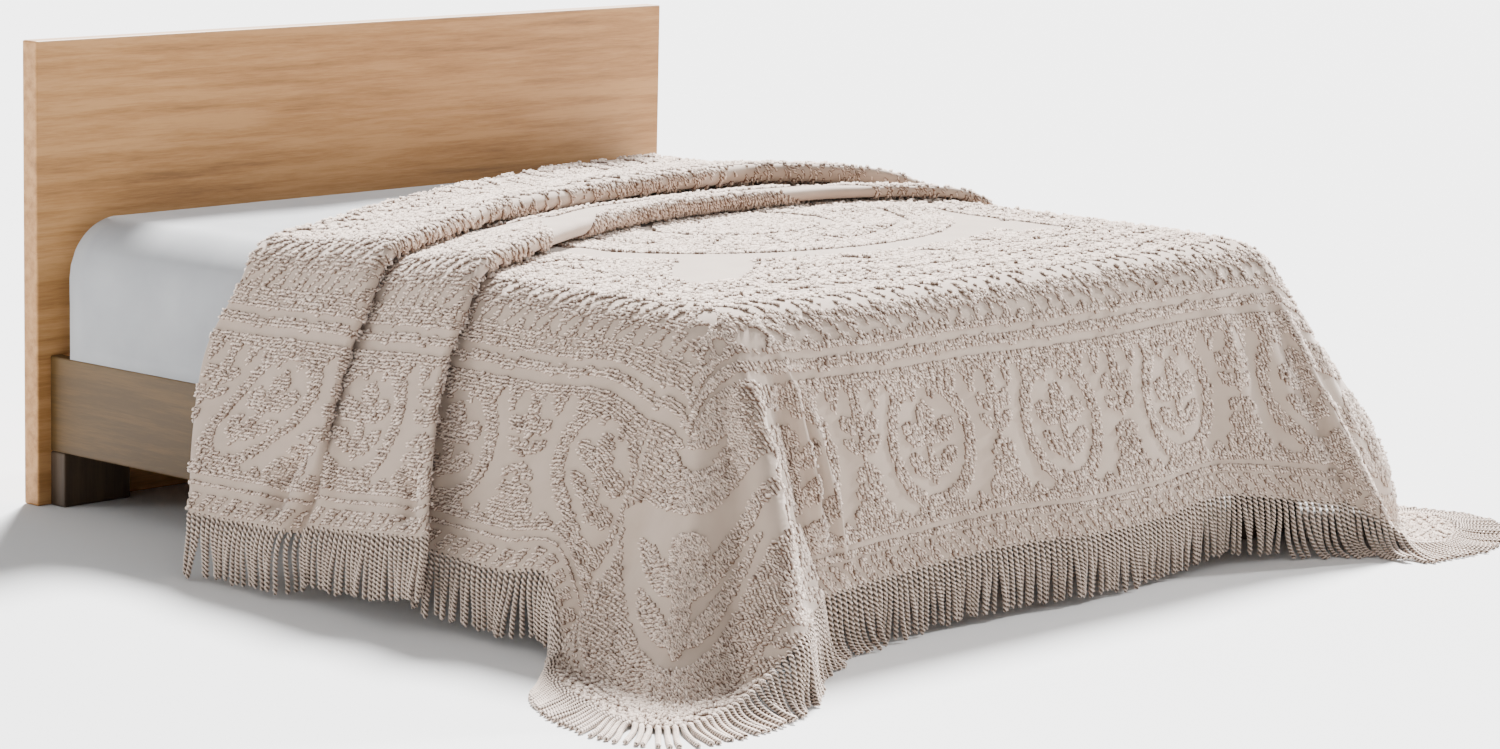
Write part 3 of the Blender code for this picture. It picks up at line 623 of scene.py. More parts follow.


# Soft creases, each with its start, end, width and height. They lie in flat cloth
# coordinates, x across from the middle of the bed and y from the foot line.
CREASES = (
    (-0.872, -0.10, -0.945, -0.70, 0.013, 0.026), (-0.826, -0.12, -0.812, -0.54, 0.011, 0.024),
    (-0.850, -0.14, -0.868, -0.62, 0.010, -0.018), (-0.925, -0.28, -1.040, -0.66, 0.030, -0.010),
    (-0.780, -0.22, -0.757, -0.60, 0.010, 0.020), (-0.802, -0.20, -0.786, -0.60, 0.009, -0.010),
    (-1.320, 1.15, -1.520, 1.140, 0.028, -0.030), (-1.280, 1.01, -1.520, 0.995, 0.018, 0.010),
    (-1.360, 0.725, -1.520, 0.715, 0.024, -0.024), (-1.300, 0.525, -1.520, 0.505, 0.018, 0.010),
    (-1.020, -0.26, -1.200, -0.48, 0.050, 0.008), (-1.160, -0.10, -1.420, -0.20, 0.050, -0.007),
    (-1.120, 0.02, -1.460, 0.03, 0.055, 0.008), (-1.150, 0.18, -1.500, 0.16, 0.060, -0.006),
    (-1.050, 0.36, -1.480, 0.33, 0.060, 0.006), (-1.100, 0.62, -1.500, 0.56, 0.055, 0.006),
    (-1.000, 0.80, -1.500, 0.74, 0.050, -0.005), (-1.050, 1.02, -1.500, 0.98, 0.060, 0.006),
    (-1.000, 1.25, -1.480, 1.16, 0.055, -0.005), (-0.950, 1.45, -1.480, 1.34, 0.050, 0.006),
    (-0.600, -0.12, -0.640, -0.58, 0.060, 0.006), (-0.430, -0.16, -0.420, -0.60, 0.055, -0.006),
    (-0.200, -0.14, -0.240, -0.60, 0.070, 0.006), (0.050, -0.18, 0.080, -0.60, 0.060, -0.005),
    (0.300, -0.12, 0.260, -0.60, 0.070, 0.006), (0.520, -0.20, 0.540, -0.60, 0.045, -0.007),
    (0.640, -0.10, 0.660, -0.60, 0.030, 0.012), (0.715, -0.14, 0.735, -0.60, 0.022, -0.009),
    (0.775, -0.08, 0.800, -0.60, 0.024, 0.013), (0.835, -0.16, 0.870, -0.60, 0.022, -0.008),
    (-0.550, 0.10, -0.100, 0.22, 0.070, 0.005), (-0.250, 0.30, 0.400, 0.20, 0.080, -0.005),
    (0.100, 0.70, 0.700, 0.55, 0.070, 0.006), (-0.350, 0.86, 0.300, 1.00, 0.040, -0.004),
    (0.450, 0.95, 0.800, 0.70, 0.045, 0.006), (-0.700, 0.66, -0.350, 0.84, 0.035, 0.005),
    (-0.600, 1.32, 0.100, 1.40, 0.030, 0.004), (0.000, 1.90, 0.600, 2.05, 0.060, 0.006),
    (-0.500, 1.85, 0.200, 2.20, 0.050, -0.004), (0.930, 0.30, 1.480, 0.26, 0.060, 0.006),
    (1.000, 0.60, 1.480, 0.56, 0.050, -0.006), (0.950, 1.00, 1.480, 0.94, 0.060, 0.006),
    (1.000, 1.60, 1.480, 1.50, 0.060, 0.006), (0.960, -0.14, 1.120, -0.56, 0.035, 0.012),
    (1.050, -0.10, 1.300, -0.45, 0.040, -0.010), (1.120, -0.04, 1.450, -0.20, 0.040, 0.010),
)

# A foot corner's cloth is measured in strips, at these turns from the side to the foot.
STRIP_TURNS = np.linspace(0.0, 1.0, 41)


def corner_place(ring, turn):
    """The shares beside and beyond the corner of the bed at a place of the fanned corner."""
    return (np.where(turn < 0.5, ring, 2 * (1 - turn) * ring),
            np.where(turn < 0.5, 2 * turn * ring, ring))


def strips_of(side):
    """How long a foot corner's cloth is from the bed's corner to its hem, from side to foot."""
    rings = np.linspace(0.001, 1.0, 60)[:, None]
    beside, beyond = corner_place(rings, STRIP_TURNS[None].clip(1e-4))
    strips = drape(side * (1 + beside), FOOT_LINE + beyond)
    lengths = np.linalg.norm(np.diff(strips, axis=0), axis=2).sum(axis=0)
    return lengths * mix(SIDE_LENGTH / lengths[0], FOOT_LENGTH / lengths[-1], STRIP_TURNS)


NEAR_STRIPS, FAR_STRIPS = strips_of(-1), strips_of(1)


def strip_length(turn, side):
    """The length of one strip of a foot corner's cloth."""
    return np.where(side < 0, np.interp(turn, STRIP_TURNS, NEAR_STRIPS),
                    np.interp(turn, STRIP_TURNS, FAR_STRIPS))


# The cloth's grid: how many lines lie from each station to the next, and across the bed
# closer lines beside the near edge, where its creases are.
DROP_LINES = 56
FAR_DROP_LINES = 50
STATION_LINES = (4, 8, 34, 12, 7, 8, 18, 11, 6, 8, 50, DROP_LINES)
NEAR_CREASED = -0.84
stations = np.concatenate([[0.0]] + [np.linspace(at, at + 1, lines + 1)[1:]
                                     for at, lines in enumerate(STATION_LINES)])
top_lines = np.concatenate([np.linspace(-1.0, NEAR_CREASED, 20)[:-1],
                            np.linspace(NEAR_CREASED, 1.0, 76)])
near_lines = np.linspace(-2.0, -1.0, DROP_LINES + 1)[:-1]
far_lines = np.linspace(1.0, 2.0, FAR_DROP_LINES)[1:]
across, station = np.meshgrid(np.concatenate([near_lines, top_lines, far_lines]), stations)
cloth = drape(across, station)

# Where each point of the grid lies in the flat cloth, and the creases there.
_, beside, beyond = past_edges(across, station)
corner_ring, turn = corner_turn(beside, beyond)
turn = np.where(beyond > 0, turn, 0.0)
from_corner = corner_ring * strip_length(turn, across)
flat_beside = np.where(beyond > 0, from_corner * np.cos(turn * pi / 2), SIDE_LENGTH * beside)
cloth_x = np.sign(across) * (INNER_X * np.clip(np.abs(across), 0, 1) + flat_beside)
steps = np.linalg.norm(np.diff(cloth, axis=0), axis=2)
foot_row = int(np.searchsorted(stations, FOOT_LINE - 1e-6))
cloth_y = -from_corner * np.sin(turn * pi / 2)
cloth_y[:foot_row] = np.cumsum(steps[:foot_row][::-1], axis=0)[::-1]
cloth = cloth + normals_of(cloth) * creases_on(cloth_x, cloth_y, CREASES)[..., None]
cloth[..., 2] = np.maximum(cloth[..., 2], CLOTH_LOWEST)
cloth_normals = normals_of(cloth)

cotton = cotton_finish("woven_cotton", 0.9, sheen=0.25, mottle=(14.0, 3.0, 0.5),
                       stops=((0.25, (0.395, 0.302, 0.238)), (0.75, (0.450, 0.350, 0.280))),
                       threads=(700.0, 3.0), strength=0.5, distance=0.0006)

bedspread = joined_mesh("bedspread_cloth", cloth.reshape(-1, 3),
                        grid_faces(*across.shape), cotton)
thickness = bedspread.modifiers.new("weave", "SOLIDIFY")
thickness.thickness = CLOTH_WEAVE
thickness.offset = 0.0
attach(bedspread, "root")
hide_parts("bedspread")

# ---- The tufted pile ---------------------------------------------------------
# Short loops of soft cotton yarn, needled through the cloth in close rows from foot to head.
# They make the borders, vines, flowers and the big oval in the middle; the rest stays plain.

# The flat cloth: how far its side hems lie from the middle, its head hem from the foot line.
HALF_WIDTH = 1.525
HEAD_HEM = 2.50

# The bands of the border, each from and to so far from the hem.
HEM_STROKES = (0.008, 0.050)
HEM_LINE = (0.060, 0.072)
BORDER = (0.084, 0.409)
STRIPE = (0.428, 0.450)
INNER_STRIPE = (0.468, 0.488)

# The border's ovals: one from the next, their middle from the hem, radii and ring. The
# flowers in them and between them stand so far above that middle and are so large.
REPEAT = 0.4285
BORDER_MIDDLE = 0.250
BORDER_OVAL = (0.119, 0.130)
BORDER_RING = 0.130
OVAL_FLOWER = (-0.004, 0.086)
UPPER_FLOWER = (0.046, 0.058)
LOWER_FLOWER = (-0.062, 0.046)
LOWER_TUFT = ((0.0, -0.126), (0.062, 0.040))

# The border's inner and outer edges: where they lie from the hem and how far they wave.
SCALLOP = 0.0612
TONGUES = (0.386, 0.050)
WAVES = (0.114, 0.010)

# The rectangle on top: its middle and half sides, its lines and where its inside begins.
RECTANGLE = ((0.02, 0.93), (0.74, 0.71))
RECTANGLE_LINES = ((-0.014, 0.0), (-0.042, -0.028))
RECTANGLE_INSIDE = -0.056

# The big oval in it: middle and radii, then its rim, grooves, spokes and wreath, all as
# shares of the radii. Wavy lines fill the rest, and four long leaves are left plain there.
MIDDLE_OVAL = ((0.14, 0.88), (0.60, 0.43))
MIDDLE_RIM = 0.97
MIDDLE_GROOVES = ((0.74, 0.026), (0.40, 0.034))
SPOKES = 16
SPOKES_LIE = (0.42, 0.72)
WREATH = (1.20, 1.34)
WREATH_PETALS, PETAL_HEIGHT = 22, 0.10
LINE_PITCH = 0.036
CORNER_LEAVES = tuple(((x, y), (0.255, 0.085), turn) for x, y, turn in (
    (-0.43, 0.42, 38), (-0.43, 1.34, -38), (0.71, 0.42, -38), (0.71, 1.34, 38)))


def in_band(at, band):
    """Whether a place lies between the two edges of a band."""
    return (at > band[0]) & (at < band[1])


def inside(a, b, place, radii, turn=0.0):
    """How far out a point lies in an oval: under 1 inside it, 1 on its edge."""
    turn_cos, turn_sin = cos(radians(turn)), sin(radians(turn))
    da, db = a - place[0], b - place[1]
    return np.hypot((turn_cos * da + turn_sin * db) / radii[0],
                    (turn_cos * db - turn_sin * da) / radii[1])


def flower(a, b, size):
    """A flower with three petals over a stem with two leaves, growing towards +b."""
    a, b = np.abs(a) / size, b / size
    petals = (((0.0, 0.62), (0.31, 0.40), 0), ((0.56, 0.26), (0.42, 0.27), 28),
              ((0.50, -0.50), (0.46, 0.22), 36), ((0.0, -0.40), (0.16, 0.60), 0),
              ((0.0, 0.14), (0.30, 0.22), 0))
    return np.logical_or.reduce([inside(a, b, *petal) < 1.0 for petal in petals])


def plain_leaves(a, b, leaves):
    """Where leaf-shaped openings, the same on both sides of a stem, leave the cloth plain."""
    return np.logical_or.reduce([inside(np.abs(a), b, *leaf) < 1.0 for leaf in leaves])


def border_pile(s, e):
    """Pile of the border: s runs along it from its middle, e is the distance from the hem."""
    a = ((s / REPEAT + 0.5) % 1.0 - 0.5) * REPEAT
    b = e - BORDER_MIDDLE
    oval = inside(a, b, (0.0, 0.0), BORDER_OVAL)
    pile = (np.abs(oval - 1.0) < BORDER_RING) | flower(a, b - OVAL_FLOWER[0], OVAL_FLOWER[1])
    between = np.where(a < 0, a + REPEAT / 2, a - REPEAT / 2)
    sprays = (flower(between, b - UPPER_FLOWER[0], UPPER_FLOWER[1])
              | flower(between, LOWER_FLOWER[0] - b, LOWER_FLOWER[1])
              | (inside(between, b, *LOWER_TUFT) < 1.0))
    pile |= sprays & (oval > 1.0)
    tongues = TONGUES[0] - TONGUES[1] * np.abs(np.sin(s / SCALLOP * pi)) ** 3
    waves = WAVES[0] + WAVES[1] * np.cos(s / SCALLOP * 2 * pi)
    return pile | (e > tongues) | (e < waves)


# A corner's oval lies at these shares of its fan's ring and turn, in a fan of this size. The
# leaves left plain beside it have a place, radii and a turn.
FAN_MIDDLE = (0.62, 0.58)
FAN_SIZE = (0.76, 0.42)
CORNER_OVAL = (0.138, 0.136)
CORNER_RING = (0.88, 1.12)
CORNER_TURNS = (0.10, 0.93)
CORNER_FLOWER = (-0.006, 0.096)
BESIDE_CORNER_OVAL = (((0.190, 0.030), (0.024, 0.082), 10), ((0.134, 0.144), (0.062, 0.027), -40),
                      ((0.0, 0.200), (0.034, 0.018), 0), ((0.226, 0.120), (0.018, 0.050), 30))


def corner_pile(ring, turn):
    """Pile of a corner: an oval round a flower halfway down the fan, with leaves beside it."""
    up = (FAN_MIDDLE[0] - ring) * FAN_SIZE[0]
    out = (turn - FAN_MIDDLE[1]) * FAN_SIZE[1] * ring
    oval = inside(out, up, (0.0, 0.0), CORNER_OVAL)
    pile = (oval > CORNER_RING[0]) | flower(out, up - CORNER_FLOWER[0], CORNER_FLOWER[1])
    return pile & ((oval < CORNER_RING[1]) | ~plain_leaves(out, up, BESIDE_CORNER_OVAL))


STROKE_PITCH, STROKE_WIDTH, STROKE_SLANT = 0.043, 0.0270, 0.8


def hem_pile(s, e):
    """Pile near the hem: slanting strokes and a line."""
    strokes = in_band(e, HEM_STROKES) & ((s + STROKE_SLANT * e) % STROKE_PITCH < STROKE_WIDTH)
    return strokes | in_band(e, HEM_LINE)


SPRIG_LEAN = 0.35


def sprig_pile(w, out, tall, broad):
    """Close rows of sprigs: leaning pairs of plain leaves in the pile, in staggered rows."""
    line = np.floor(out / tall)
    a = (w / tall + 0.5 * (line % 2)) % 1.0 - 0.5
    b = out / tall - line - 0.5
    leaves = (((0.25, 0.08), (broad, 0.39), 20), ((0.0, -0.44), (0.11, 0.16), 0))
    return ~plain_leaves(a - SPRIG_LEAN * b, b, leaves)


def middle_pile(x, y):
    """Pile of the rectangle on top: the big oval, the wreath round it and the lines."""
    centre, radii = MIDDLE_OVAL
    oval = inside(x, y, centre, radii)
    angle = np.arctan2((y - centre[1]) / radii[1], (x - centre[0]) / radii[0])
    pile = oval < MIDDLE_RIM
    for place, half in MIDDLE_GROOVES:
        pile &= np.abs(oval - place) > half
    pile &= (np.abs(np.sin(angle * SPOKES / 2)) > 0.20) | ~in_band(oval, SPOKES_LIE)
    lines = np.sin(y / LINE_PITCH * 2 * pi + 1.6 * np.sin(x / 0.11)) > -0.25
    petals = WREATH[1] + PETAL_HEIGHT * np.cos(angle * WREATH_PETALS)
    wreath = in_band(oval, (WREATH[0], petals)) | (oval > WREATH[1]) & lines
    for leaf in CORNER_LEAVES:
        wreath &= inside(x, y, *leaf) > 1.0
    return pile | wreath


# Sprigs beside the rectangle and beyond its ends: how tall, and how broad their leaves are
# as a share of that. They fill the top as far out as the stripes.
SIDE_SPRIGS = (0.074, 0.16)
END_SPRIGS = (0.098, 0.21)
SPRIGS_FROM_HEM = 0.480
SPRIGS_OUT = 0.012


def pile_lies(x, y):
    """Where the cloth carries pile, in flat cloth coordinates.

    e is how far a place lies from the nearest hem and s how far along it. On the fanned foot
    corners from_hem and round_s stand for them, and turn and ring say where in the fan it is.
    """
    side_e, foot_e, head_e = HALF_WIDTH - np.abs(x), y + FOOT_LENGTH, HEAD_HEM - y
    end_e = np.minimum(foot_e, head_e)
    e = np.minimum(side_e, end_e)
    s = np.where(side_e < end_e, y - (HEAD_HEM - FOOT_LENGTH) / 2, x)
    beside, beyond = np.clip(np.abs(x) - INNER_X, 0, None), np.clip(-y, 0, None)
    fanned = (beside > 0) & (beyond > 0)
    turn = np.arctan2(beyond, beside) * 2 / pi
    from_hem = np.where(fanned, strip_length(turn, x) - np.hypot(beside, beyond), e)
    round_s = np.where(fanned, SIDE_LENGTH * turn * pi / 2, s)
    in_corner = fanned & in_band(turn, CORNER_TURNS)
    ring = np.hypot(beside, beyond) / np.where(fanned, strip_length(turn, x), 1.0)
    pile = hem_pile(round_s, from_hem)
    pile |= (np.where(in_corner, corner_pile(ring, turn), border_pile(s, e))
             & (from_hem > BORDER[0]) & (e < BORDER[1]))
    stripe = e + 0.0020 * np.sin(s / 0.031 + np.sin(s / 0.083)) + 0.0015 * np.sin(s / 0.0097)
    pile |= in_band(stripe, STRIPE)
    waved = INNER_STRIPE[1] + 0.010 * np.cos(s / 0.052 * 2 * pi)
    pile |= (stripe > INNER_STRIPE[0]) & (e < waved)
    (middle_x, middle_y), (half_x, half_y) = RECTANGLE
    beyond_x = np.abs(x - middle_x) - half_x
    beyond_y = np.abs(y - middle_y) - half_y
    out = np.maximum(beyond_x, beyond_y)
    on_side = beyond_x > beyond_y
    sprigs = sprig_pile(np.where(on_side, y, x), out,
                        *(np.where(on_side, *sizes) for sizes in zip(SIDE_SPRIGS, END_SPRIGS)))
    pile |= (e > SPRIGS_FROM_HEM) & (out > SPRIGS_OUT) & sprigs
    for line in RECTANGLE_LINES:
        pile |= in_band(out, line)
    return pile | (out < RECTANGLE_INSIDE) & middle_pile(x, y)


def on_cloth(values, column, row):
    """A value of the cloth's grid between its lines, at fractions of columns and rows."""
    c = np.clip(column.astype(int), 0, values.shape[1] - 2)
    r = np.clip(row.astype(int), 0, values.shape[0] - 2)
    u, v = (column - c)[:, None], (row - r)[:, None]
    this_row = mix(values[r, c], values[r, c + 1], u)
    next_row = mix(values[r + 1, c], values[r + 1, c + 1], u)
    return mix(this_row, next_row, v)


# Rows of loops and loops in a row, one from the next, and the first of each. They end
# where the grid of the cloth is turned under at the head.
ROW_PITCH = 0.0078
LOOP_PITCH = 0.0066
FIRST_ROW = -HALF_WIDTH + 0.005
LAST_ROW = HALF_WIDTH - 0.003
FIRST_LOOP = 0.004
TUCKED_LINES = 3
chance = np.random.default_rng(7)
lattice = []
row_numbers = np.arange(len(stations))
for x in np.arange(FIRST_ROW, LAST_ROW, ROW_PITCH):
    column = np.interp(x, cloth_x[0], np.arange(across.shape[1]))
    left = min(int(column), across.shape[1] - 2)
    profile = mix(cloth_y[:foot_row + 1, left], cloth_y[:foot_row + 1, left + 1], column - left)
    y = np.arange(FIRST_LOOP, profile[TUCKED_LINES], LOOP_PITCH)
    row = np.interp(-y, -profile, row_numbers[:foot_row + 1])
    lattice.append(np.stack([np.full(len(y), column), row, np.full(len(y), x), y], axis=1))
top_lattice = np.concatenate(lattice).T

# Past the foot line the same lattice lies on the foot drop and on the fanned corners. The
# pleats at the near corner are drawn up out of more cloth, which carries a second set of
# loops between the first.
FAN_ROWS = 51
FAN_OUT = 0.35
FAN_DOWN = 1.0
PLEATS_OUT = 0.005
PLEATS_REACH = 0.095
x, y = np.meshgrid(np.arange(FIRST_ROW - FAN_ROWS * ROW_PITCH, HALF_WIDTH + FAN_OUT, ROW_PITCH),
                   -np.arange(LOOP_PITCH - FIRST_LOOP, FAN_DOWN, LOOP_PITCH))
across_rows, along_rows = np.indices(x.shape)[::-1]
in_pleats = (np.abs(np.abs(x) - INNER_X - PLEATS_OUT) < PLEATS_REACH) & (x < 0)
x, y = (np.concatenate([values.ravel(), values[in_pleats] + half])
        for values, half in ((x, ROW_PITCH / 2), (y, -LOOP_PITCH / 2)))
across_rows, along_rows = (np.concatenate([values.ravel(), values[in_pleats]])
                           for values in (across_rows, along_rows))
flat_beside = np.clip(np.abs(x) - INNER_X, 0, None)
fan_turn = np.arctan2(-y, flat_beside) * 2 / pi
fan_length = np.where(flat_beside > 0, strip_length(fan_turn, x), FOOT_LENGTH)
fan = np.hypot(flat_beside, y) / fan_length

# The side half of each fan is gathered below, so every third loop is left out of its rows
# there: level with one another near the side, and staggered past STAGGERED_FROM.
GATHERED_BELOW = 0.35
GATHERED_TO = 0.45
STAGGERED_FROM = 0.34
LAST_LOOP = 0.994
counted = np.where(fan_turn < STAGGERED_FROM, along_rows, across_rows + along_rows)
open_cloth = ((flat_beside == 0) | (fan < GATHERED_BELOW) | (fan_turn > GATHERED_TO)
              | (counted % 3 != 0))
there = (fan < LAST_LOOP) & open_cloth
x, y, flat_beside, fan_turn, fan = (values[there] for values in (x, y, flat_beside, fan_turn, fan))
beside, beyond = corner_place(fan, fan_turn)
foot_across = np.where(flat_beside > 0, np.sign(x) * (1 + beside), x / INNER_X)
foot_column = np.interp(foot_across, across[0], np.arange(across.shape[1]))
foot_row_place = np.interp(FOOT_LINE + beyond, stations, row_numbers)
column, row, x, y = (np.concatenate(pair) for pair in zip(
    top_lattice, (foot_column, foot_row_place, x, y)))
at_station = np.interp(row, row_numbers, stations)

# No loops are made where the cloth is turned under at the head or runs back in a fold, and
# here and there one is missing.
TURNED_UNDER = 0.35
PAST_LIP = 1.3
MISSED = 0.01
hidden = at_station < ROLL + TURNED_UNDER
for lip, end in ((FIRST_LIP, FIRST_END), (SECOND_LIP, SECOND_END)):
    hidden |= in_band(at_station, (lip + PAST_LIP, end))
kept = pile_lies(x, y) & ~hidden & (chance.random(len(x)) > MISSED)
column, row, x, y, at_station = (values[kept] for values in (column, row, x, y, at_station))

# Each loop is a wedge, long at its base and short at its tip. It strays from its place on
# the grid, turns, leans and sags a little its own way, and its tip takes painted shade of its
# own, partly a random tone and partly a stand-in for the shadows between loops.
TUFT_HEIGHT = 0.0067
TUFT_ROOT = 0.0012
TUFT_HALF_LONG, TUFT_HALF_WIDE, TIP_HALF_LONG = 0.0047, 0.0034, 0.0034
TUFT_FACES = np.array(((0, 1, 4), (0, 4, 5), (2, 3, 5), (2, 5, 4), (1, 2, 4), (3, 0, 5)))
PILE_LOWEST = 0.0012
STRAY_COLUMNS, STRAY_ROWS = 0.045, 0.03
TURN, TURN_SPREAD = 24.0, 20.0
LEAN_SPREAD = 0.0013
SAG = 0.0016
count = len(x)
column = column + chance.normal(0.0, STRAY_COLUMNS, count)
row = row + chance.normal(0.0, STRAY_ROWS, count)
column = np.clip(column, 0.05, across.shape[1] - 1.05)
row = np.clip(row, 0.05, across.shape[0] - 1.05)
foot = on_cloth(cloth, column, row)
up = on_cloth(cloth_normals, column, row)
rows_run = on_cloth(np.gradient(cloth, axis=0), column, row)
rows_run -= up * np.sum(rows_run * up, axis=1)[:, None]
rows_run /= np.linalg.norm(rows_run, axis=1)[:, None]
beside = np.cross(up, rows_run)
twist = np.radians(TURN + chance.normal(0.0, TURN_SPREAD, count))[:, None]
long_way = rows_run * np.cos(twist) + beside * np.sin(twist)
wide_way = np.cross(up, long_way)
size = chance.normal(1.0, 0.10, count).clip(0.75, 1.3)[:, None]
sag = np.array([0.0, 0.0, -SAG])
lean = chance.normal(0.0, LEAN_SPREAD, (count, 3)) + sag * (1.0 - up[:, 2:3])
# Painted shade: how far each tip's colour is darkened, at random, for shadows between loops.
tip_tone_and_shade = chance.normal(0.90, 0.15, count).clip(0.45, 1.0)
base = foot + up * (CLOTH_WEAVE / 2 - TUFT_ROOT)
stands = chance.normal(1.0, 0.13, count).clip(0.65, 1.35)[:, None]
tip = base + up * TUFT_HEIGHT * size * stands + lean
half_long, half_wide = long_way * size * TUFT_HALF_LONG, wide_way * size * TUFT_HALF_WIDE
half_tip = long_way * size * TIP_HALF_LONG
around = np.stack([base + half_long + half_wide, base - half_long + half_wide,
                   base - half_long - half_wide, base + half_long - half_wide,
                   tip - half_tip, tip + half_tip], axis=1)


def paint_shade_within(material, shade_colour):
    """Paints shade into a finish's colour at the roots, where little light falls."""
    nodes, links = material.node_tree.nodes, material.node_tree.links
    base_colour = nodes["Principled BSDF"].inputs["Base Color"]
    # Painted shade: a value per corner picks how far the colour is darkened.
    shade_depth = nodes.new("ShaderNodeAttribute")
    shade_depth.attribute_name = "shade_depth"
    shade = stepped_colour(nodes, links, shade_depth.outputs["Fac"],
                           ((0.24, shade_colour), (0.80, (1.0, 1.0, 1.0))))
    both = nodes.new("ShaderNodeMix")
    both.data_type = "RGBA"
    both.blend_type = "MULTIPLY"
    both.inputs["Factor"].default_value = 1.0
    links.new(base_colour.links[0].from_socket, both.inputs["A"])
    links.new(shade, both.inputs["B"])
    links.new(both.outputs["Result"], base_colour)


yarn = cotton_finish("chenille_yarn", 0.95, sheen=0.35, mottle=(150.0, 2.0, 0.5),
                     stops=((0.34, (0.67, 0.505, 0.405)), (0.66, (0.96, 0.790, 0.665))),
                     threads=(900.0, 2.0), strength=0.6, distance=0.0010)
# Painted shade: the yarn's colour is darkened towards its roots, between the loops.
paint_shade_within(yarn, (0.150, 0.105, 0.080))

# The pile is made in five pieces: the foot drop, the two sides, and the top in two parts.
FAR_LINE = 0.86
TOP_PARTS_AT = 0.95
on_foot = (at_station > FOOT_LINE) & (x < FAR_LINE)
on_top = ~on_foot & (x >= -INNER_X) & (x < FAR_LINE)
places = (("pile_foot", on_foot), ("pile_near_side", (x < -INNER_X) & ~on_foot),
          ("pile_far_side", x >= FAR_LINE),
          ("pile_top_foot", on_top & (y < TOP_PARTS_AT)),
          ("pile_top_head", on_top & (y >= TOP_PARTS_AT)))
for name, here in places:
    corners = around[here].reshape(-1, 3)
    faces = (TUFT_FACES[None] + 6 * np.arange(here.sum())[:, None, None]).reshape(-1, 3)
    corners[:, 2] = np.maximum(corners[:, 2], PILE_LOWEST)
    # Painted shade: the root corners take the darkest colour, the tips a random share of it.
    shade_depth = np.zeros((here.sum(), 6), dtype=np.float32)
    shade_depth[:, 4:] = tip_tone_and_shade[here][:, None]
    piece = joined_mesh(name, corners, faces, yarn, shade_depth.ravel())
    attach(piece, "root")

# ---- The corded fringe -------------------------------------------------------
# Cords of two cotton plies twisted together, looped at their ends and sewn side by side
# along both sides and the foot. They hang free, and splay out on the floor at the corners.


def fringe_lay(across, station):
    """The level direction in which the fringe lies or leans at a place on the hem."""
    side, beside, beyond = past_edges(across, station)
    _, turn = corner_turn(beside, beyond)
    corner = read_by_side(NEAR_CORNER, FAR_CORNER, CORNER_COLUMNS, turn, side)[-1]
    start = np.where(side < 0, NEAR_CORNER[0][-1], FAR_CORNER[0][-1])
    beside_corner = start * ease((station - (FOOT_LINE - 0.3)) / 0.3)
    lay = np.where(beyond > 0, np.where(beside > 0, corner, 90.0), beside_corner)
    angle = np.radians(lay)
    return np.stack([side * np.cos(angle), -np.sin(angle), np.zeros_like(angle)], axis=-1)


# A cord is sewn in behind the hem, and leaves it straight for the first share of its points.
CORD_PITCH = 0.0160
CORD_LENGTH = 0.127
CORD_POINTS = 45
FROM_HEAD = 0.030
SEWN_IN = 0.006
STRAIGHT_OUT = 0.014
STRAIGHT_SHARE = 0.14
CORD_LOWEST = 0.0036
LENGTH_SPREAD, SWAY_SPREAD, SWING_SPREAD = 0.0035, 0.0032, 0.0045
HANGS_AT_MOST = 0.998
FLAT_FROM = 0.6
SLACK_ON_FLOOR = 0.06

# The hem's places in the cloth's grid: down the near side, along the foot, up the far side.
last_row, last_column = across.shape[0] - 1, across.shape[1] - 1
side_rows = np.arange(last_row)
edge = np.concatenate([
    np.stack([np.zeros(last_row), side_rows], axis=1),
    np.stack([np.arange(last_column + 1), np.full(last_column + 1, last_row)], axis=1),
    np.stack([np.full(last_row, last_column), side_rows[::-1]], axis=1)]).astype(float)
hem = on_cloth(cloth, *edge.T)
lengths = np.concatenate([[0.0], np.cumsum(np.linalg.norm(np.diff(hem, axis=0), axis=1))])
at = np.arange(FROM_HEAD, lengths[-1] - FROM_HEAD, CORD_PITCH)
count = len(at)
place = np.stack([np.interp(at, lengths, edge[:, 0]), np.interp(at, lengths, edge[:, 1])], axis=1)
inward = place.copy()
inward[:, 0] = np.clip(inward[:, 0], 1.0, last_column - 1.0)
inward[:, 1] = np.clip(inward[:, 1], 0.0, last_row - 1.0)
start, outward = on_cloth(cloth, *place.T), on_cloth(cloth_normals, *place.T)
falling = start - on_cloth(cloth, *inward.T)
falling /= np.linalg.norm(falling, axis=1)[:, None]
cord_across = on_cloth(across[..., None], *place.T)[:, 0]
cord_station = on_cloth(station[..., None], *place.T)[:, 0]
lay = fringe_lay(cord_across, cord_station)
runs = np.gradient(start, axis=0)
runs /= np.linalg.norm(runs, axis=1)[:, None]

chance = np.random.default_rng(11)
uneven = (chance.normal(0.0, LENGTH_SPREAD, count)
          + 0.004 * np.sin(at / 0.083) * np.sin(at / 0.031))
length = CORD_LENGTH + uneven.clip(-0.010, 0.006)

# Each cord hangs as low as there is room for it, and what is left of it lies out on the
# floor. Neighbouring cords lean together in bunches, and each sways a little its own way.
top = start - falling * SEWN_IN
heading = start + falling * STRAIGHT_OUT
heading[:, 2] = np.maximum(heading[:, 2], CORD_LOWEST)
rest = length - STRAIGHT_OUT
room = np.clip(heading[:, 2] - CORD_LOWEST, 0.0, rest * HANGS_AT_MOST)
level = np.sqrt(rest ** 2 - room ** 2)
on_floor = ease(level / (FLAT_FROM * rest))
tip = heading + lay * (level * (1.0 - SLACK_ON_FLOOR * on_floor))[:, None]
tip[:, 2] = heading[:, 2] - room
bunch = 0.0062 * np.sin(at / 0.0171 + 2.0 * np.sin(at / 0.071)) + 0.007 * np.sin(at / 0.049)
sway = bunch + chance.normal(0.0, SWAY_SPREAD, count)
swing = chance.normal(0.0, SWING_SPREAD, count) + 0.003 * np.sin(at / 0.047)
tip += runs * sway[:, None] + outward * swing[:, None] * np.array([1.0, 1.0, 0.0])

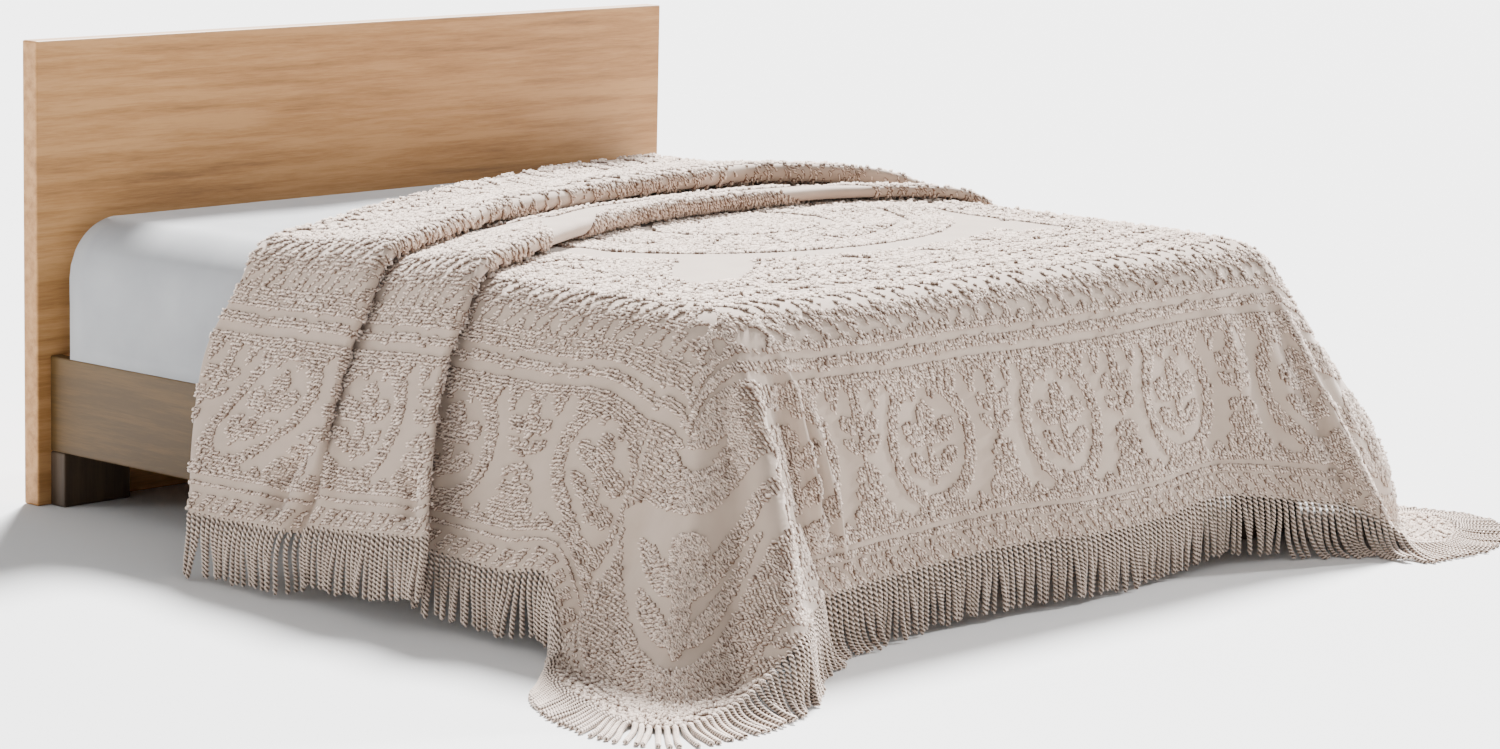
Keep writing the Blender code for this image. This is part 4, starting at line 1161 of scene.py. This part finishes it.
# Its line is straight at the hem, then one smooth curve to its tip.
DOWN = np.array([0.0, 0.0, -1.0])
CURVE_PULL = 0.42
share = np.linspace(0.0, 1.0, CORD_POINTS)[None, :, None]
pull = (rest * CURVE_PULL)[:, None]
control_a = heading + mix(falling, DOWN, 0.5) * pull
control_b = tip - mix(DOWN, lay, on_floor[:, None]) * pull
control_a[:, 2] = np.maximum(control_a[:, 2], CORD_LOWEST)
control_b[:, 2] = np.maximum(control_b[:, 2], CORD_LOWEST)
run = np.clip((share - STRAIGHT_SHARE) / (1.0 - STRAIGHT_SHARE), 0.0, 1.0)
curve = (heading[:, None] * (1 - run) ** 3 + 3 * control_a[:, None] * run * (1 - run) ** 2
         + 3 * control_b[:, None] * run ** 2 * (1 - run) + tip[:, None] * run ** 3)
head_run = np.clip(share / STRAIGHT_SHARE, 0.0, 1.0)
path = np.where(share < STRAIGHT_SHARE, mix(top[:, None], heading[:, None], head_run), curve)
path[..., 2] = np.maximum(path[..., 2], CORD_LOWEST)

# Two plies twisted together: an oval section that turns from point to point of the cord.
# The short radii lie in the groove between the plies, where shade is painted into its colour.
TWIST_STEP = radians(61.0)
PLY_LONG, PLY_SHORT = 0.0062, 0.0039
PLY_LOWEST = 0.0004
SEWN_TAPER, LOOP_TAPER = 0.7, (0.95, 0.45)

tangent = np.gradient(path, axis=1)
tangent /= np.linalg.norm(tangent, axis=2)[..., None]
side_way = np.cross(tangent, outward[:, None])
side_way /= np.linalg.norm(side_way, axis=2)[..., None]
face_way = np.cross(side_way, tangent)
turned = chance.random(count)[:, None] * 2 * pi
spin = (TWIST_STEP * np.arange(CORD_POINTS))[None, :] + turned
taper = np.ones(CORD_POINTS)
taper[0], taper[-2:] = SEWN_TAPER, LOOP_TAPER
ring = []
for quarter, radius in ((0.0, PLY_LONG), (0.5, PLY_SHORT), (1.0, PLY_LONG), (1.5, PLY_SHORT)):
    angle = spin + quarter * pi
    ring.append(path + (side_way * np.cos(angle)[..., None] + face_way * np.sin(angle)[..., None])
                * (radius * taper)[None, :, None])
ring = np.stack(ring, axis=2)
ring[..., 2] = np.maximum(ring[..., 2], PLY_LOWEST)

index = np.arange(CORD_POINTS * 4).reshape(CORD_POINTS, 4)
ahead = np.roll(index, -1, axis=1)
cord_faces = np.stack([index[:-1], ahead[:-1], ahead[1:], index[1:]], axis=-1).reshape(-1, 4)
cord_faces = np.concatenate([cord_faces, index[:1, ::-1], index[-1:]])

cord_cotton = cotton_finish("twisted_cotton_cord", 0.85, sheen=0.2, mottle=(90.0, 2.0, 0.5),
                            stops=((0.30, (0.70, 0.550, 0.455)), (0.70, (0.94, 0.770, 0.655))),
                            threads=(1200.0, 2.0), strength=0.4, distance=0.0006)
# Painted shade: the cord's colour is darkened in the grooves between its plies.
paint_shade_within(cord_cotton, (0.10, 0.08, 0.065))

# The fringe is made in three pieces, one for each side and one for the foot.
SIDE_HEM = 1.999
near = (cord_across <= -SIDE_HEM) & (cord_station < FOOT_LINE)
far = (cord_across >= SIDE_HEM) & (cord_station < FOOT_LINE)
for name, here in (("fringe_near_side", near), ("fringe_foot", ~near & ~far),
                   ("fringe_far_side", far)):
    corners = ring[here].reshape(-1, 3)
    first_point = CORD_POINTS * 4 * np.arange(here.sum())[:, None, None]
    faces = (cord_faces[None] + first_point).reshape(-1, 4)
    # Painted shade: 1 on the plies, 0 in the grooves, which take the darkest colour.
    shade_depth = np.tile(np.array((1.0, 0.0, 1.0, 0.0), dtype=np.float32), len(corners) // 4)
    piece = joined_mesh(name, corners, faces, cord_cotton, shade_depth)
    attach(piece, "root")
    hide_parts("fringe")

# ---- The studio --------------------------------------------------------------
# A pale floor whose edge is never seen, and even soft light from all round. A high window
# behind the far side brightens the top of the bed, with weaker low light from the far side
# and from the near side of the head. The camera looks from the near foot corner.

FLOOR_SIZE = 400.0
FLOOR_BELOW = 0.0005
FLOOR_PALE = (0.73, 0.73, 0.73, 1.0)
ROOM_LIGHT = 0.64

bpy.ops.mesh.primitive_plane_add(size=FLOOR_SIZE, location=(0.0, 0.0, -FLOOR_BELOW))
floor = bpy.context.object
floor.name = "studio_floor"
pale, shader, _, _ = finish_named("pale_floor", 0.9)
shader.inputs["Base Color"].default_value = FLOOR_PALE
floor.data.materials.append(pale)

world = bpy.data.worlds.new("studio")
world.use_nodes = True
background = world.node_tree.nodes["Background"]
background.inputs["Color"].default_value = (1.0, 1.0, 1.0, 1.0)
background.inputs["Strength"].default_value = ROOM_LIGHT
bpy.context.scene.world = world


def even_light(name, comes_from, softness, strength):
    """A light that reaches everything from one side; softness is how wide it looks, in degrees."""
    data = bpy.data.lights.new(name, "SUN")
    data.angle = radians(softness)
    data.energy = strength
    light = bpy.data.objects.new(name, data)
    light.rotation_euler = Vector(comes_from).to_track_quat("Z", "Y").to_euler()
    bpy.context.scene.collection.objects.link(light)


even_light("window_light", comes_from=(0.54, 0.42, 0.68), softness=12.0, strength=21.5)
even_light("side_light", comes_from=(0.93, -0.15, 0.34), softness=4.0, strength=4.6)
even_light("fill_light", comes_from=(-0.80, 0.60, 0.15), softness=25.0, strength=1.4)

CAMERA_AT = (-6.87221, -6.37678, 1.88039)
FOCAL_LENGTH, SENSOR_WIDTH = 103.57, 36.0
VIEW_SIDEWAYS, VIEW_UPWARDS, VIEW_ROLL = -0.8305, -0.1601, 0.0220
forward = Vector((-sin(VIEW_SIDEWAYS) * cos(VIEW_UPWARDS), cos(VIEW_SIDEWAYS) * cos(VIEW_UPWARDS),
                  sin(VIEW_UPWARDS)))
right = Vector((cos(VIEW_SIDEWAYS), sin(VIEW_SIDEWAYS), 0.0))
above = right.cross(forward)
rolled_right = right * cos(VIEW_ROLL) + above * sin(VIEW_ROLL)
rolled_above = above * cos(VIEW_ROLL) - right * sin(VIEW_ROLL)
lens = bpy.data.cameras.new("camera")
lens.lens = FOCAL_LENGTH
lens.sensor_width = SENSOR_WIDTH
camera = bpy.data.objects.new("camera", lens)
camera.matrix_world = Matrix.Translation(CAMERA_AT) @ Matrix(
    (rolled_right, rolled_above, -forward)).transposed().to_4x4()
bpy.context.scene.collection.objects.link(camera)
bpy.context.scene.camera = camera
